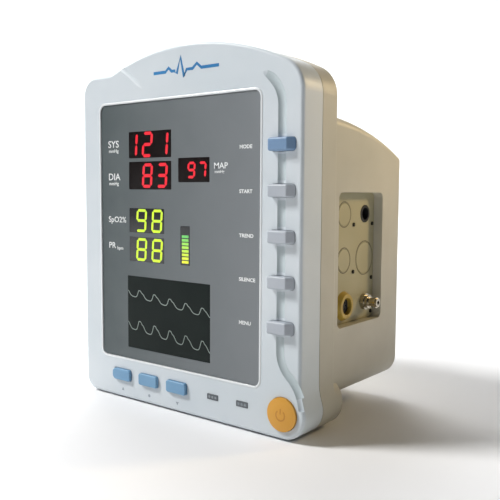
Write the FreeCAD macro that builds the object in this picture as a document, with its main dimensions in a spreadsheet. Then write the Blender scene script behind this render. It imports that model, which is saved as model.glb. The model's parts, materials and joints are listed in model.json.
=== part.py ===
"""Compact bedside patient monitor: a front bezel with a crown-shaped top, a hollow rear shell, LED and LCD
readouts behind a grey panel, nine keys that travel, and a recessed connector panel on the right side.

+Z is up, the screen faces -Y, and the origin is the middle of the footprint on the surface it stands on.
All sizes are in millimetres. Depths are counted from the bezel's face, which lies at Y = face_y."""
import FreeCAD, Part
import math
import os

import Sketcher

V = FreeCAD.Vector

SIZES = {
    # overall
    "half_w": 106.4, "side_x": 103.0, "base_z": 1.2, "face_y": -70.25, "wall": 3.0, "front_wall": 3.2,
    "seam_y": 22.0, "seam_gap": 0.6, "rim_y": 41.5, "back_y": 137.0, "edge_fillet": 2.4, "gap": 0.3,
    # crown-shaped outline of the front
    "crown_top": 264.0, "crown_x": 3.0, "crown_radius": 205.0, "shoulder_z": 249.2, "join_radius": 8.0,
    "left_top_radius": 14.0, "right_top_radius": 22.0, "left_low_radius": 11.0,
    "lobe_x": 89.4, "lobe_z": 18.2, "lobe_radius": 17.0, "waist_radius": 40.0, "lobe_y": 49.0,
    # groove that runs under the side keys
    "groove_x": 87.2, "groove_top": 216.0, "groove_low": 59.0, "groove_depth": 1.5, "groove_round": 4.2,
    "groove_upper_radius": 23.2, "groove_lower_radius": 20.0, "groove_exit_radius": 30.0,
    "crease_round": 3.0, "crease_depth": 1.3,
    # rear body
    "body_x": 101.0, "body_low": 18.0, "body_top": 216.0, "roof_radius": 280.0, "roof_y": 22.0,
    "roof_z": -66.5, "body_low_radius": 16.0, "roof_edge_radius": 7.0, "back_edge_radius": 3.0,
    # grip recess behind the crown
    "grip_x": 55.0, "grip_low": 222.0, "grip_high": 247.0, "grip_y": 24.0,
    # grey display panel and its windows
    "panel_left": -85.8, "panel_right": 70.2, "panel_low": 32.7, "panel_high": 227.0,
    "panel_round": 5.0, "panel_y": 0.5, "seat_y": 2.2, "ledge": 3.0,
    "digits_left": -54.5, "sys_right": -10.2, "sys_low": 186.0, "sys_high": 205.6,
    "dia_low": 162.8, "dia_high": 183.4, "map_left": -3.4, "map_right": 26.2,
    "map_low": 168.0, "map_high": 185.2, "spo2_right": -17.6, "spo2_low": 130.4,
    "spo2_high": 148.8, "pulse_low": 108.6, "pulse_high": 127.2, "bar_left": -1.4, "bar_right": 7.8,
    "bar_low": 109.0, "bar_high": 137.0, "lcd_left": -56.9, "lcd_right": 26.8,
    "lcd_low": 41.7, "lcd_high": 97.3, "module_y": 2.4, "module_rim": 1.0,
    "display_board_y": 12.0, "board_thick": 1.6, "lcd_rim": 6.0, "lcd_back_y": 9.0, "lcd_glass": 1.1,
    # side keys
    "key_left": 78.4, "key_right": 97.8, "key_bevel_x": 93.6, "key_bevel_y": 0.6, "key_proud": 4.5,
    "key_half": 4.25, "key_top": 191.6, "key_pitch": 29.25, "key_round": 1.8, "key_corner": 2.5, "key_flange": 1.2,
    "key_lip": 1.1, "key_travel": 1.3, "switch_half": 3.0, "switch_y": 6.6, "key_board_y": 9.4,
    # soft keys
    "soft_x": -62.9, "soft_pitch": 29.2, "soft_half_w": 9.7, "soft_z": 19.2, "soft_half_h": 4.35,
    "soft_proud": 2.4, "soft_round": 1.8,
    # power button
    "power_radius": 11.2, "power_proud": 2.6, "power_dome": 60.0, "power_switch_half": 8.0,
    "power_switch_y": 8.0, "power_switch_back": 26.0, "power_post": 3.0, "power_travel": 1.5,
    # indicator windows
    "mains_x": 29.7, "battery_x": 55.9, "lamp_half_w": 5.1, "lamp_z": 18.3, "lamp_half_h": 2.1,
    "lamp_depth": 5.0,
    # connector panel in the right side
    "bay_front": 47.5, "bay_back": 110.5, "bay_low": 68.0, "bay_high": 161.5, "bay_floor": 94.0,
    "bay_rib": 2.5, "plate": 2.0, "col_front": 66.7, "col_back": 96.2, "row_high": 146.0,
    "row_mid": 113.5, "row_low": 81.0, "plug_radius": 8.3, "big_plug_radius": 11.8, "plug_gap": 0.3,
    "temp_radius": 6.4, "temp_bore": 4.6, "temp_depth": 12.0, "spo2_flange": 10.5, "spo2_nose": 8.6,
    "spo2_neck": 7.6, "spo2_bore": 6.2,
    "spo2_proud": 3.6, "spo2_depth": 14.0, "nibp_flange": 6.0, "nibp_stem": 3.2, "nibp_bead": 4.0,
    "nibp_bore": 1.6, "nibp_barb": 2.4, "dot_radius": 1.4,
    # back
    "inlet_x": -56.0, "inlet_z": 72.0, "inlet_half_w": 24.0, "inlet_half_h": 11.4, "stud_x": -20.0,
    "stud_radius": 3.0, "stud_length": 8.0, "pocket_y": 134.2, "jack_x": 34.0, "jack_z": 72.0,
    "bolt_spacing": 75.0, "bolt_z": 132.0, "bolt_radius": 2.1,
    # fasteners and feet
    "screw_x": 68.0, "screw_high": 232.0, "tube_left": -92.0, "tube_right": 88.0, "tube_z": 42.0,
    "screw_radius": 1.6, "screw_hole": 1.65, "head_radius": 3.2, "head_thick": 2.4, "head_y": 36.0,
    "boss_radius": 4.5, "tube_radius": 6.0, "tube_bore": 4.0, "foot_radius": 7.0, "foot_x": 74.0,
    "front_foot_y": 31.5, "rear_foot_y": 124.0, "rear_foot_x": 48.0, "post_radius": 9.0,
    # insides
    "chassis_y": 24.0, "chassis_thick": 1.2, "main_board_y": 32.0,
}


class Size:
    """A length that holds both its number and the spreadsheet formula that gives it."""

    def __init__(self, value, formula):
        self.value = float(value)
        self.formula = formula

    def join(self, other, sign, value):
        return Size(value, f"({self.formula} {sign} {formula_of(other)})")

    def __add__(self, other):
        return self.join(other, "+", self.value + value_of(other))

    def __sub__(self, other):
        return self.join(other, "-", self.value - value_of(other))

    def __mul__(self, other):
        return self.join(other, "*", self.value * value_of(other))

    def __rsub__(self, other):
        return Size(value_of(other) - self.value, f"({formula_of(other)} - {self.formula})")

    def __neg__(self):
        return Size(-self.value, f"(-1 * {self.formula})")

    __radd__ = __add__
    __rmul__ = __mul__


def value_of(size):
    return size.value if isinstance(size, Size) else float(size)


def formula_of(size):
    return size.formula if isinstance(size, Size) else repr(float(size))


class Dimensions:
    """Gives each driving dimension of the sheet as a Size."""

    def __getattr__(self, alias):
        return Size(SIZES[alias], f"dims.{alias}")


d = Dimensions()
doc = FreeCAD.newDocument("patient_monitor")
NODES = []


def fill_sheet():
    sheet = doc.addObject("Spreadsheet::Sheet", "dims")
    for row, (alias, number) in enumerate(SIZES.items(), start=1):
        sheet.set(f"A{row}", alias)
        sheet.set(f"B{row}", str(number))
        sheet.setAlias(f"B{row}", alias)
    doc.recompute()


def bind(thing, **sizes):
    """Binds properties to formulas. A double underscore in a name stands for a dot."""
    for name, size in sizes.items():
        thing.setExpression(name.replace("__", "."), formula_of(size))


def depth(size):
    """The Y of a point at this depth behind the bezel's face."""
    return d.face_y + size


def node(thing, label):
    thing.Label = label
    NODES.append(thing)
    return thing


# ---------------------------------------------------------------- Part primitives and booleans

def box(name, x, y, z):
    """A block between the pairs x, y and z. y is counted from the bezel's face."""
    made = doc.addObject("Part::Box", name)
    bind(made, Length=x[1] - x[0], Width=y[1] - y[0], Height=z[1] - z[0])
    bind(made, Placement__Base__x=x[0], Placement__Base__y=depth(y[0]), Placement__Base__z=z[0])
    return made


TURN = {"X": FreeCAD.Rotation(V(0, 1, 0), 90), "Y": FreeCAD.Rotation(V(1, 0, 0), -90),
        "Z": FreeCAD.Rotation()}


def place(made, axis, x, y, z):
    made.Placement = FreeCAD.Placement(V(value_of(x), value_of(depth(y)), value_of(z)), TURN[axis])
    bind(made, Placement__Base__x=x, Placement__Base__y=depth(y), Placement__Base__z=z)
    return made


def rod(name, axis, start, length, radius):
    """A cylinder that starts at the point start and runs along +axis."""
    made = doc.addObject("Part::Cylinder", name)
    bind(made, Radius=radius, Height=length)
    return place(made, axis, *start)


def taper(name, axis, start, length, first, last):
    made = doc.addObject("Part::Cone", name)
    bind(made, Radius1=first, Radius2=last, Height=length)
    return place(made, axis, *start)


def join(name, *parts):
    made = doc.addObject("Part::MultiFuse", name)
    made.Shapes = list(parts)
    return made


def cut(name, base, *tools):
    made = doc.addObject("Part::Cut", name)
    made.Base = base
    made.Tool = tools[0] if len(tools) == 1 else join(name + "_tools", *tools)
    return made


def common(name, *parts):
    made = doc.addObject("Part::MultiCommon", name)
    made.Shapes = list(parts)
    return made


def group(name, *parts):
    """Several separate solids kept as one node."""
    made = doc.addObject("Part::Compound", name)
    made.Links = list(parts)
    return made


def rounded(name, base, radius, chosen, far_radius=None):
    """Fillets the edges of base that chosen(edge) picks, from radius to far_radius along each."""
    doc.recompute()
    made = doc.addObject("Part::Fillet", name)
    made.Base = base
    last = value_of(radius if far_radius is None else far_radius)
    made.Edges = [(i, value_of(radius), last)
                  for i, edge in enumerate(base.Shape.Edges, start=1) if chosen(edge)]
    return made


def runs_along(edge, axis):
    direction = edge.tangentAt(edge.FirstParameter)
    return edge.Curve.TypeId == "Part::GeomLine" and abs(getattr(direction, axis)) > 0.999


def soft_box(name, x, y, z, radius, axis="y"):
    """A block whose edges along one axis are rounded."""
    return rounded(name, box(name + "_block", x, y, z), radius, lambda e: runs_along(e, axis))


# ---------------------------------------------------------------- sketches

def sketch_on(body, name, role, offset):
    """A sketch on one of the body's origin planes, moved along that plane's normal."""
    plane = [f for f in body.Origin.OriginFeatures if f.Role == role][0]
    made = body.newObject("Sketcher::SketchObject", name)
    made.AttachmentSupport = (plane, [""])
    made.MapMode = "FlatFace"
    bind(made, AttachmentOffset__Base__z=offset)
    return made


def front_sketch(body, name, y):
    """A sketch in the plane of the bezel's face, at a depth behind it. Its axes are X and Z."""
    return sketch_on(body, name, "XZ_Plane", -depth(y))


def pin_point(sketch, geometry, position, x=None, z=None):
    """Fixes a point of the sketch at x and z, each bound to the sheet."""
    for kind, size in (("DistanceX", x), ("DistanceY", z)):
        if size is None:
            continue
        number = sketch.addConstraint(
            Sketcher.Constraint(kind, -1, 1, geometry, position, value_of(size)))
        sketch.setExpression(f"Constraints[{number}]", formula_of(size))


def fix_radius(sketch, geometry, size):
    number = sketch.addConstraint(Sketcher.Constraint("Radius", geometry, value_of(size)))
    sketch.setExpression(f"Constraints[{number}]", formula_of(size))


def line(sketch, start, end):
    return sketch.addGeometry(Part.LineSegment(V(*start, 0), V(*end, 0)))


def arc(sketch, centre, radius, first, last):
    """An arc from angle first to angle last, in degrees, counter-clockwise."""
    circle = Part.Circle(V(*centre, 0), V(0, 0, 1), radius)
    return sketch.addGeometry(Part.ArcOfCircle(circle, math.radians(first), math.radians(last)))


def circle(sketch, x, z, radius):
    made = sketch.addGeometry(Part.Circle(V(value_of(x), value_of(z), 0), V(0, 0, 1), value_of(radius)))
    pin_point(sketch, made, 3, x, z)
    fix_radius(sketch, made, radius)


def rounded_rectangle(sketch, x, z, radius):
    """A rectangle with round corners between the pairs x and z."""
    left, right, low, high = (value_of(size) for size in (*x, *z))
    r = value_of(radius)
    low_side = line(sketch, (left + r, low), (right - r, low))
    right_side = line(sketch, (right, low + r), (right, high - r))
    high_side = line(sketch, (right - r, high), (left + r, high))
    left_side = line(sketch, (left, high - r), (left, low + r))
    corners = [arc(sketch, (right - r, low + r), r, 270, 360), arc(sketch, (right - r, high - r), r, 0, 90),
               arc(sketch, (left + r, high - r), r, 90, 180), arc(sketch, (left + r, low + r), r, 180, 270)]
    sides = [low_side, right_side, high_side, left_side]
    for i, corner in enumerate(corners):
        sketch.addConstraint(Sketcher.Constraint("Tangent", sides[i], 2, corner, 1))
        sketch.addConstraint(Sketcher.Constraint("Tangent", corner, 2, sides[(i + 1) % 4], 1))
    for side, kind in zip(sides, ("Horizontal", "Vertical", "Horizontal", "Vertical")):
        sketch.addConstraint(Sketcher.Constraint(kind, side))
    for corner in corners[1:]:
        sketch.addConstraint(Sketcher.Constraint("Equal", corners[0], corner))
    fix_radius(sketch, corners[0], radius)
    pin_point(sketch, low_side, 1, z=z[0])
    pin_point(sketch, right_side, 1, x=x[1])
    pin_point(sketch, high_side, 1, z=z[1])
    pin_point(sketch, left_side, 1, x=x[0])


def touch_angle(from_centre, to_centre):
    return math.degrees(math.atan2(to_centre[1] - from_centre[1], to_centre[0] - from_centre[0]))


def crown_outline(sketch, inset=0.0):
    """The front's outline, drawn inside itself by inset: flat base, round lobe at the right foot, upright
    sides, an arched crown, and a shoulder on the left."""
    t = value_of(inset)
    left, right = -d.half_w.value + t, d.side_x.value - t
    low, shoulder = d.base_z.value + t, d.shoulder_z.value - t
    lobe, lobe_r = (d.lobe_x.value, d.lobe_z.value), d.lobe_radius.value - t
    crown_r = d.crown_radius.value - t
    crown = (d.crown_x.value, d.crown_top.value - d.crown_radius.value)
    waist_r = d.waist_radius.value + t
    waist_x = right + waist_r
    waist = (waist_x, lobe[1] + math.sqrt((lobe_r + waist_r) ** 2 - (waist_x - lobe[0]) ** 2))
    corner_r = d.right_top_radius.value - t
    corner_x = right - corner_r
    corner = (corner_x, crown[1] + math.sqrt((crown_r - corner_r) ** 2 - (corner_x - crown[0]) ** 2))
    join_r = d.join_radius.value + t
    join_z = shoulder + join_r
    dent = (crown[0] - math.sqrt((crown_r + join_r) ** 2 - (join_z - crown[1]) ** 2), join_z)
    top_r, foot_r = d.left_top_radius.value - t, d.left_low_radius.value - t

    base = line(sketch, (left + foot_r, low), (lobe[0], low))
    lobe_arc = arc(sketch, lobe, lobe_r, -90, touch_angle(lobe, waist))
    waist_arc = arc(sketch, waist, waist_r, 180, touch_angle(waist, lobe) % 360)
    side = line(sketch, (right, waist[1]), (right, corner[1]))
    corner_arc = arc(sketch, corner, corner_r, 0, touch_angle(crown, corner))
    crown_arc = arc(sketch, crown, crown_r, touch_angle(crown, corner), touch_angle(crown, dent))
    dent_arc = arc(sketch, dent, join_r, 270, touch_angle(dent, crown) % 360)
    ledge = line(sketch, (dent[0], shoulder), (left + top_r, shoulder))
    top_arc = arc(sketch, (left + top_r, shoulder - top_r), top_r, 90, 180)
    left_side = line(sketch, (left, shoulder - top_r), (left, low + foot_r))
    foot_arc = arc(sketch, (left + foot_r, low + foot_r), foot_r, 180, 270)

    joints = [(base, 2, lobe_arc, 1), (lobe_arc, 2, waist_arc, 2), (waist_arc, 1, side, 1),
              (side, 2, corner_arc, 1), (corner_arc, 2, crown_arc, 1), (crown_arc, 2, dent_arc, 2),
              (dent_arc, 1, ledge, 1), (ledge, 2, top_arc, 1), (top_arc, 2, left_side, 1),
              (left_side, 2, foot_arc, 1), (foot_arc, 2, base, 1)]
    for first, end, second, start in joints:
        sketch.addConstraint(Sketcher.Constraint("Tangent", first, end, second, start))
    for straight, kind in ((base, "Horizontal"), (side, "Vertical"), (ledge, "Horizontal"),
                           (left_side, "Vertical")):
        sketch.addConstraint(Sketcher.Constraint(kind, straight))
    pin_point(sketch, left_side, 1, x=inset - d.half_w)
    pin_point(sketch, side, 1, x=d.side_x - inset)
    pin_point(sketch, ledge, 1, z=d.shoulder_z - inset)
    pin_point(sketch, lobe_arc, 3, d.lobe_x, d.lobe_z)
    pin_point(sketch, crown_arc, 3, d.crown_x, d.crown_top - d.crown_radius)
    for curve, size in ((lobe_arc, d.lobe_radius - inset), (crown_arc, d.crown_radius - inset),
                        (waist_arc, d.waist_radius + inset), (corner_arc, d.right_top_radius - inset),
                        (dent_arc, d.join_radius + inset), (top_arc, d.left_top_radius - inset),
                        (foot_arc, d.left_low_radius - inset)):
        fix_radius(sketch, curve, size)


def pad(body, sketch, length, backwards=True):
    """Extrudes a front sketch towards the back of the monitor."""
    made = body.newObject("PartDesign::Pad", sketch.Name + "_pad")
    made.Profile = sketch
    made.Reversed = backwards
    bind(made, Length=length)
    return made


def pocket(body, sketch, length):
    """Cuts a front sketch into the body, towards the back of the monitor."""
    made = body.newObject("PartDesign::Pocket", sketch.Name + "_pocket")
    made.Profile = sketch
    bind(made, Length=length)
    return made


def soften(body, feature, radius, chosen):
    """Rounds the edges of a feature that chosen(edge) picks."""
    doc.recompute()
    made = body.newObject("PartDesign::Fillet", feature.Name + "_fillet")
    names = [f"Edge{i}" for i, edge in enumerate(feature.Shape.Edges, start=1) if chosen(edge)]
    made.Base = (feature, names)
    bind(made, Radius=radius)
    return made


def lies_at(edge, y):
    """True if the whole edge lies at this depth."""
    box_ = edge.BoundBox
    level = depth(y).value
    return abs(box_.YMin - level) < 1e-4 and abs(box_.YMax - level) < 1e-4


def outline_body(name, start, length, inset=0.0):
    body = doc.addObject("PartDesign::Body", name)
    sketch = front_sketch(body, name + "_outline", start)
    crown_outline(sketch, inset)
    pad(body, sketch, length)
    return body


# ---------------------------------------------------------------- front bezel

def groove_tool():
    """A round cutter along the groove: it sinks into the face beside the panel's corner, runs down under the
    side keys, then sweeps out over the lobe's edge."""
    rise = d.groove_round.value - d.groove_depth.value
    y = depth(-rise).value
    upper, lower, out = d.groove_upper_radius.value, d.groove_lower_radius.value, d.groove_exit_radius.value
    x, top, low = d.groove_x.value, d.groove_top.value, d.groove_low.value

    def on_arc(centre, radius, degrees, lift=0.0):
        a = math.radians(degrees)
        return V(centre[0] + radius * math.cos(a), y - lift, centre[1] + radius * math.sin(a))

    def arc_edge(centre, radius, first, last):
        points = [on_arc(centre, radius, a) for a in (first, (first + last) / 2, last)]
        return Part.Arc(*points).toShape()

    crook, bend, swing = (x - upper, top), (x + lower, low), 230
    turn = on_arc(bend, lower, swing)
    heading = math.radians(swing - 180)
    exit_centre = (turn.x - out * math.cos(heading), turn.z - out * math.sin(heading))
    fade_start, fade_end, lift = 36, 78, 2.4
    fading = Part.BSplineCurve()
    steps = [i / 6 for i in range(7)]
    fading.interpolate([on_arc(crook, upper, fade_end + (fade_start - fade_end) * s, lift * (1 - s) ** 2)
                        for s in steps])
    edges = [fading.toShape(), arc_edge(crook, upper, fade_start, 0),
             Part.LineSegment(on_arc(crook, upper, 0), V(x, y, low)).toShape(),
             arc_edge(bend, lower, 180, swing), arc_edge(exit_centre, out, swing - 180, 4)]
    path = Part.Wire(edges)
    start = edges[0].valueAt(edges[0].FirstParameter)
    across = edges[0].tangentAt(edges[0].FirstParameter)
    profile = Part.Wire(Part.Circle(start, across, d.groove_round.value).toShape())
    made = doc.addObject("Part::Feature", "groove_tool")
    made.Shape = path.makePipeShell([profile], True, False)
    return made


def crease_tool():
    """A shallow cutter for the crease where the crown rises out of the left shoulder."""
    y, radius = depth(-d.crease_round).value, d.crease_round.value
    fall, reach = 18.0, 26.0
    start_x, start_z = -65.0, 254.5
    points = []
    for s in (0.0, 0.25, 0.5, 0.75, 1.0):
        points.append(V(start_x + reach * s, y + d.crease_depth.value * (1 - s * s), start_z - fall * s ** 1.25))
    curve = Part.BSplineCurve()
    curve.interpolate(points)
    edge = curve.toShape()
    profile = Part.Wire(Part.Circle(points[0], edge.tangentAt(edge.FirstParameter), radius).toShape())
    made = doc.addObject("Part::Feature", "crease_tool")
    made.Shape = Part.Wire(edge).makePipeShell([profile], True, False)
    return made


def key_heights():
    return [d.key_top - i * d.key_pitch for i in range(5)]


def soft_key_centres():
    return [d.soft_x + i * d.soft_pitch for i in range(3)]


def screw_places():
    """X and Z of the four case screws: two in the crown, two in deep tubes near the base."""
    return [(-d.screw_x, d.screw_high), (d.screw_x, d.screw_high), (d.tube_left, d.tube_z),
            (d.tube_right, d.tube_z)]


def build_bezel():
    body = doc.addObject("PartDesign::Body", "bezel_body")
    outline = front_sketch(body, "bezel_outline", 0)
    crown_outline(outline)
    block = pad(body, outline, d.seam_y)
    soften(body, block, d.edge_fillet, lambda e: lies_at(e, 0))
    seat = front_sketch(body, "panel_seat", 0)
    rounded_rectangle(seat, (d.panel_left, d.panel_right), (d.panel_low, d.panel_high), d.panel_round)
    pocket(body, seat, d.seat_y)
    through = front_sketch(body, "bezel_holes", -d.gap)
    rounded_rectangle(through, (d.panel_left + d.ledge, d.panel_right - d.ledge),
                      (d.panel_low + d.ledge, d.panel_high - d.ledge), d.panel_round - d.ledge)
    for z in key_heights():
        rounded_rectangle(through, (d.key_left - d.gap, d.key_right + d.gap),
                          (z - d.key_half - d.gap, z + d.key_half + d.gap), d.key_corner + d.gap)
    for x in soft_key_centres():
        rounded_rectangle(through, (x - d.soft_half_w - d.gap, x + d.soft_half_w + d.gap),
                          (d.soft_z - d.soft_half_h - d.gap, d.soft_z + d.soft_half_h + d.gap),
                          d.soft_round + d.gap)
    for x in (d.mains_x, d.battery_x):
        rounded_rectangle(through, (x - d.lamp_half_w, x + d.lamp_half_w),
                          (d.lamp_z - d.lamp_half_h, d.lamp_z + d.lamp_half_h), d.lamp_half_h * 0.3)
    circle(through, d.lobe_x, d.lobe_z, d.power_radius + d.gap)
    pocket(body, through, d.front_wall + d.gap * 2)
    hollow = outline_body("bezel_hollow", d.front_wall, d.seam_y, d.wall)
    shell = cut("bezel_shell", body, hollow, groove_tool(), crease_tool())
    bosses = [rod("bezel_boss", "Y", (x, d.front_wall - 0.4, z), d.seam_y - d.front_wall + 0.4, d.boss_radius)
              for x, z in screw_places()]
    pilots = [rod("bezel_pilot", "Y", (x, d.front_wall, z), d.seam_y, d.screw_hole)
              for x, z in screw_places()]
    node(cut("bezel", join("bezel_with_bosses", shell, *bosses), *pilots), "front_bezel")


def build_gasket():
    outer = outline_body("gasket_outer", d.seam_y, d.seam_gap, 1.2)
    inner = outline_body("gasket_inner", d.seam_y - 1, d.seam_gap + 2, 2.6)
    node(cut("gasket", outer, inner), "case_gasket")


# ---------------------------------------------------------------- displays

def windows():
    """Node name of each readout, with the X pair and Z pair of its window in the grey panel."""
    return {
        "sys_display": ((d.digits_left, d.sys_right), (d.sys_low, d.sys_high)),
        "dia_display": ((d.digits_left, d.sys_right), (d.dia_low, d.dia_high)),
        "map_display": ((d.map_left, d.map_right), (d.map_low, d.map_high)),
        "spo2_display": ((d.digits_left, d.spo2_right), (d.spo2_low, d.spo2_high)),
        "pulse_display": ((d.digits_left, d.spo2_right), (d.pulse_low, d.pulse_high)),
        "pulse_bargraph": ((d.bar_left, d.bar_right), (d.bar_low, d.bar_high)),
    }


def build_panel():
    body = doc.addObject("PartDesign::Body", "panel_body")
    plate = front_sketch(body, "panel_plate", d.panel_y)
    clear = d.gap
    rounded_rectangle(plate, (d.panel_left + clear, d.panel_right - clear),
                      (d.panel_low + clear, d.panel_high - clear), d.panel_round - clear)
    pad(body, plate, d.seat_y - d.panel_y)
    openings = front_sketch(body, "panel_windows", d.panel_y - d.gap)
    for x, z in [*windows().values(), ((d.lcd_left, d.lcd_right), (d.lcd_low, d.lcd_high))]:
        rounded_rectangle(openings, x, z, 0.5)
    pocket(body, openings, d.seat_y)
    node(body, "display_panel")


def build_readouts():
    rim = d.module_rim
    for name, (x, z) in windows().items():
        block = box(name + "_block", (x[0] - rim, x[1] + rim), (d.module_y, d.display_board_y),
                    (z[0] - rim, z[1] + rim))
        node(block, name)
    margin = d.ledge + 1.2
    node(box("display_board_plate", (d.panel_left + margin, d.panel_right - margin),
             (d.display_board_y, d.display_board_y + d.board_thick),
             (d.panel_low + margin, d.panel_high - margin)), "display_board")
    frame = box("lcd_case", (d.lcd_left - d.lcd_rim, d.lcd_right + d.lcd_rim),
                (d.module_y, d.lcd_back_y), (d.lcd_low - 4.0, d.lcd_high + 4.0))
    x, z = (d.lcd_left - 0.6, d.lcd_right + 0.6), (d.lcd_low - 0.6, d.lcd_high + 0.6)
    well = box("lcd_well", x, (d.module_y - 1, d.module_y + d.lcd_glass + 0.4), z)
    node(cut("lcd_frame_cut", frame, well), "lcd_frame")
    node(box("lcd_pane", (x[0] + 0.1, x[1] - 0.1), (d.module_y + 0.4, d.module_y + d.lcd_glass + 0.4),
             (z[0] + 0.1, z[1] - 0.1)), "lcd_glass")


# ---------------------------------------------------------------- keys

def build_side_key(label, z):
    """A key that straddles the groove: flat face, bevel down to the right, and a flange that keeps it in."""
    body = doc.addObject("PartDesign::Body", label + "_body")
    profile = sketch_on(body, label + "_profile", "XY_Plane", z - d.key_half)
    root = depth(d.front_wall + d.gap)
    points = [(d.key_left, root), (d.key_left, depth(-d.key_proud)), (d.key_bevel_x, depth(-d.key_proud)),
              (d.key_right, depth(-d.key_bevel_y)), (d.key_right, root)]
    flat = [(value_of(x), value_of(y)) for x, y in points]
    sides = [line(profile, flat[i], flat[(i + 1) % 5]) for i in range(5)]
    for i, side in enumerate(sides):
        profile.addConstraint(Sketcher.Constraint("Coincident", side, 2, sides[(i + 1) % 5], 1))
        pin_point(profile, side, 1, *points[i])
    cap = pad(body, profile, d.key_half * 2, backwards=False)
    face = depth(-d.key_bevel_y).value + 0.01
    upright = soften(body, cap, d.key_round, lambda e: runs_along(e, "z") and e.BoundBox.YMax < face)
    levels = [value_of(z - d.key_half), value_of(z + d.key_half)]
    wall_back = value_of(root) - 0.01

    def on_cap_edge(e):
        flat_at = any(abs(e.BoundBox.ZMin - level) < 1e-4 and e.BoundBox.ZLength < 1e-4 for level in levels)
        return flat_at and e.BoundBox.YMin < wall_back

    soften(body, upright, d.key_round - 0.3, on_cap_edge)
    reach = d.key_lip
    start = d.front_wall + d.gap
    trim = soft_box(label + "_trim", (d.key_left, d.key_right), (-d.key_proud - 1, start),
                    (z - d.key_half, z + d.key_half), d.key_corner)
    pill = common(label + "_pill", body, trim)
    flange = box(label + "_flange", (d.key_left - reach, d.key_right + reach), (start, start + d.key_flange),
                 (z - d.key_half - reach, z + d.key_half + reach))
    post = rod(label + "_post", "Y", (d.groove_x, start, z), d.key_flange + 0.3, d.switch_half * 0.6)
    node(join(label + "_join", pill, flange, post), label)


def build_soft_key(label, x, left_round):
    """A flat blue key under the panel. The first of the three has a rounder left end."""
    start, lip = d.front_wall + d.gap, d.key_lip
    low, high = d.soft_z - d.soft_half_h, d.soft_z + d.soft_half_h
    block = box(label + "_block", (x - d.soft_half_w, x + d.soft_half_w), (-d.soft_proud, start), (low, high))
    edge_x = value_of(x)
    left = rounded(label + "_left", block, left_round,
                   lambda e: runs_along(e, "y") and e.BoundBox.XMax < edge_x)
    right = rounded(label + "_right", left, d.soft_round,
                    lambda e: runs_along(e, "y") and e.BoundBox.XMin > edge_x
                    and e.BoundBox.XMax > edge_x + d.soft_half_w.value - 0.01)
    cap = rounded(label + "_cap", right, 0.8, lambda e: lies_at(e, -d.soft_proud))
    flange = box(label + "_flange", (x - d.soft_half_w - lip, x + d.soft_half_w + lip),
                 (start, start + d.key_flange), (low - lip, high + lip))
    post = rod(label + "_post", "Y", (x, start, d.soft_z), d.key_flange + 0.3, d.switch_half * 0.6)
    node(join(label + "_join", cap, flange, post), label)


def build_keys():
    for label, z in zip(("mode_key", "start_key", "trend_key", "silence_key", "menu_key"), key_heights()):
        build_side_key(label, z)
    rounds = (d.soft_half_h * 0.8, d.soft_round, d.soft_round)
    for label, x, left_round in zip(("up_key", "select_key", "down_key"), soft_key_centres(), rounds):
        build_soft_key(label, x, left_round)


def build_power_button():
    start = d.front_wall + d.gap
    barrel = rod("power_barrel", "Y", (d.lobe_x, -d.power_proud, d.lobe_z), start + d.power_proud,
                 d.power_radius)
    ball = doc.addObject("Part::Sphere", "power_ball")
    bind(ball, Radius=d.power_dome)
    place(ball, "Z", d.lobe_x, d.power_dome - d.power_proud, d.lobe_z)
    dome = common("power_dome_cap", barrel, ball)
    flange = rod("power_flange", "Y", (d.lobe_x, start, d.lobe_z), d.key_flange, d.power_radius + d.key_lip)
    post = rod("power_stem", "Y", (d.lobe_x, start, d.lobe_z), d.key_flange + 1.2, d.power_post)
    node(join("power_join", dome, flange, post), "power_button")
    half = d.power_switch_half
    node(box("power_switch_case", (d.lobe_x - half, d.lobe_x + half),
             (d.power_switch_y, d.power_switch_back), (d.lobe_z - half, d.lobe_z + half)), "power_switch")


def build_indicators():
    clear = d.gap * 0.5
    for label, x in (("mains_indicator", d.mains_x), ("battery_indicator", d.battery_x)):
        node(soft_box(label + "_lens", (x - d.lamp_half_w + clear, x + d.lamp_half_w - clear),
                      (-0.3, d.lamp_depth), (d.lamp_z - d.lamp_half_h + clear,
                                             d.lamp_z + d.lamp_half_h - clear), 0.5), label)


def build_key_boards():
    def switches(name, places):
        half = d.switch_half
        return group(name, *[box(name + "_switch", (x - half, x + half), (d.switch_y, d.key_board_y),
                                 (z - half, z + half)) for x, z in places])

    back = d.key_board_y + d.board_thick
    low = d.key_top - 4 * d.key_pitch
    node(box("side_board", (d.key_left - 3, d.key_right), (d.key_board_y, back), (low - 9, d.key_top + 9)),
         "side_key_board")
    node(switches("side_tact", [(d.groove_x, z) for z in key_heights()]), "side_key_switches")
    node(box("soft_board", (d.soft_x - 14, d.battery_x + 8), (d.key_board_y, back),
             (d.soft_z - 10, d.soft_z + 8)), "soft_key_board")
    node(switches("soft_tact", [(x, d.soft_z) for x in soft_key_centres()]), "soft_key_switches")


# ---------------------------------------------------------------- rear shell

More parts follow.
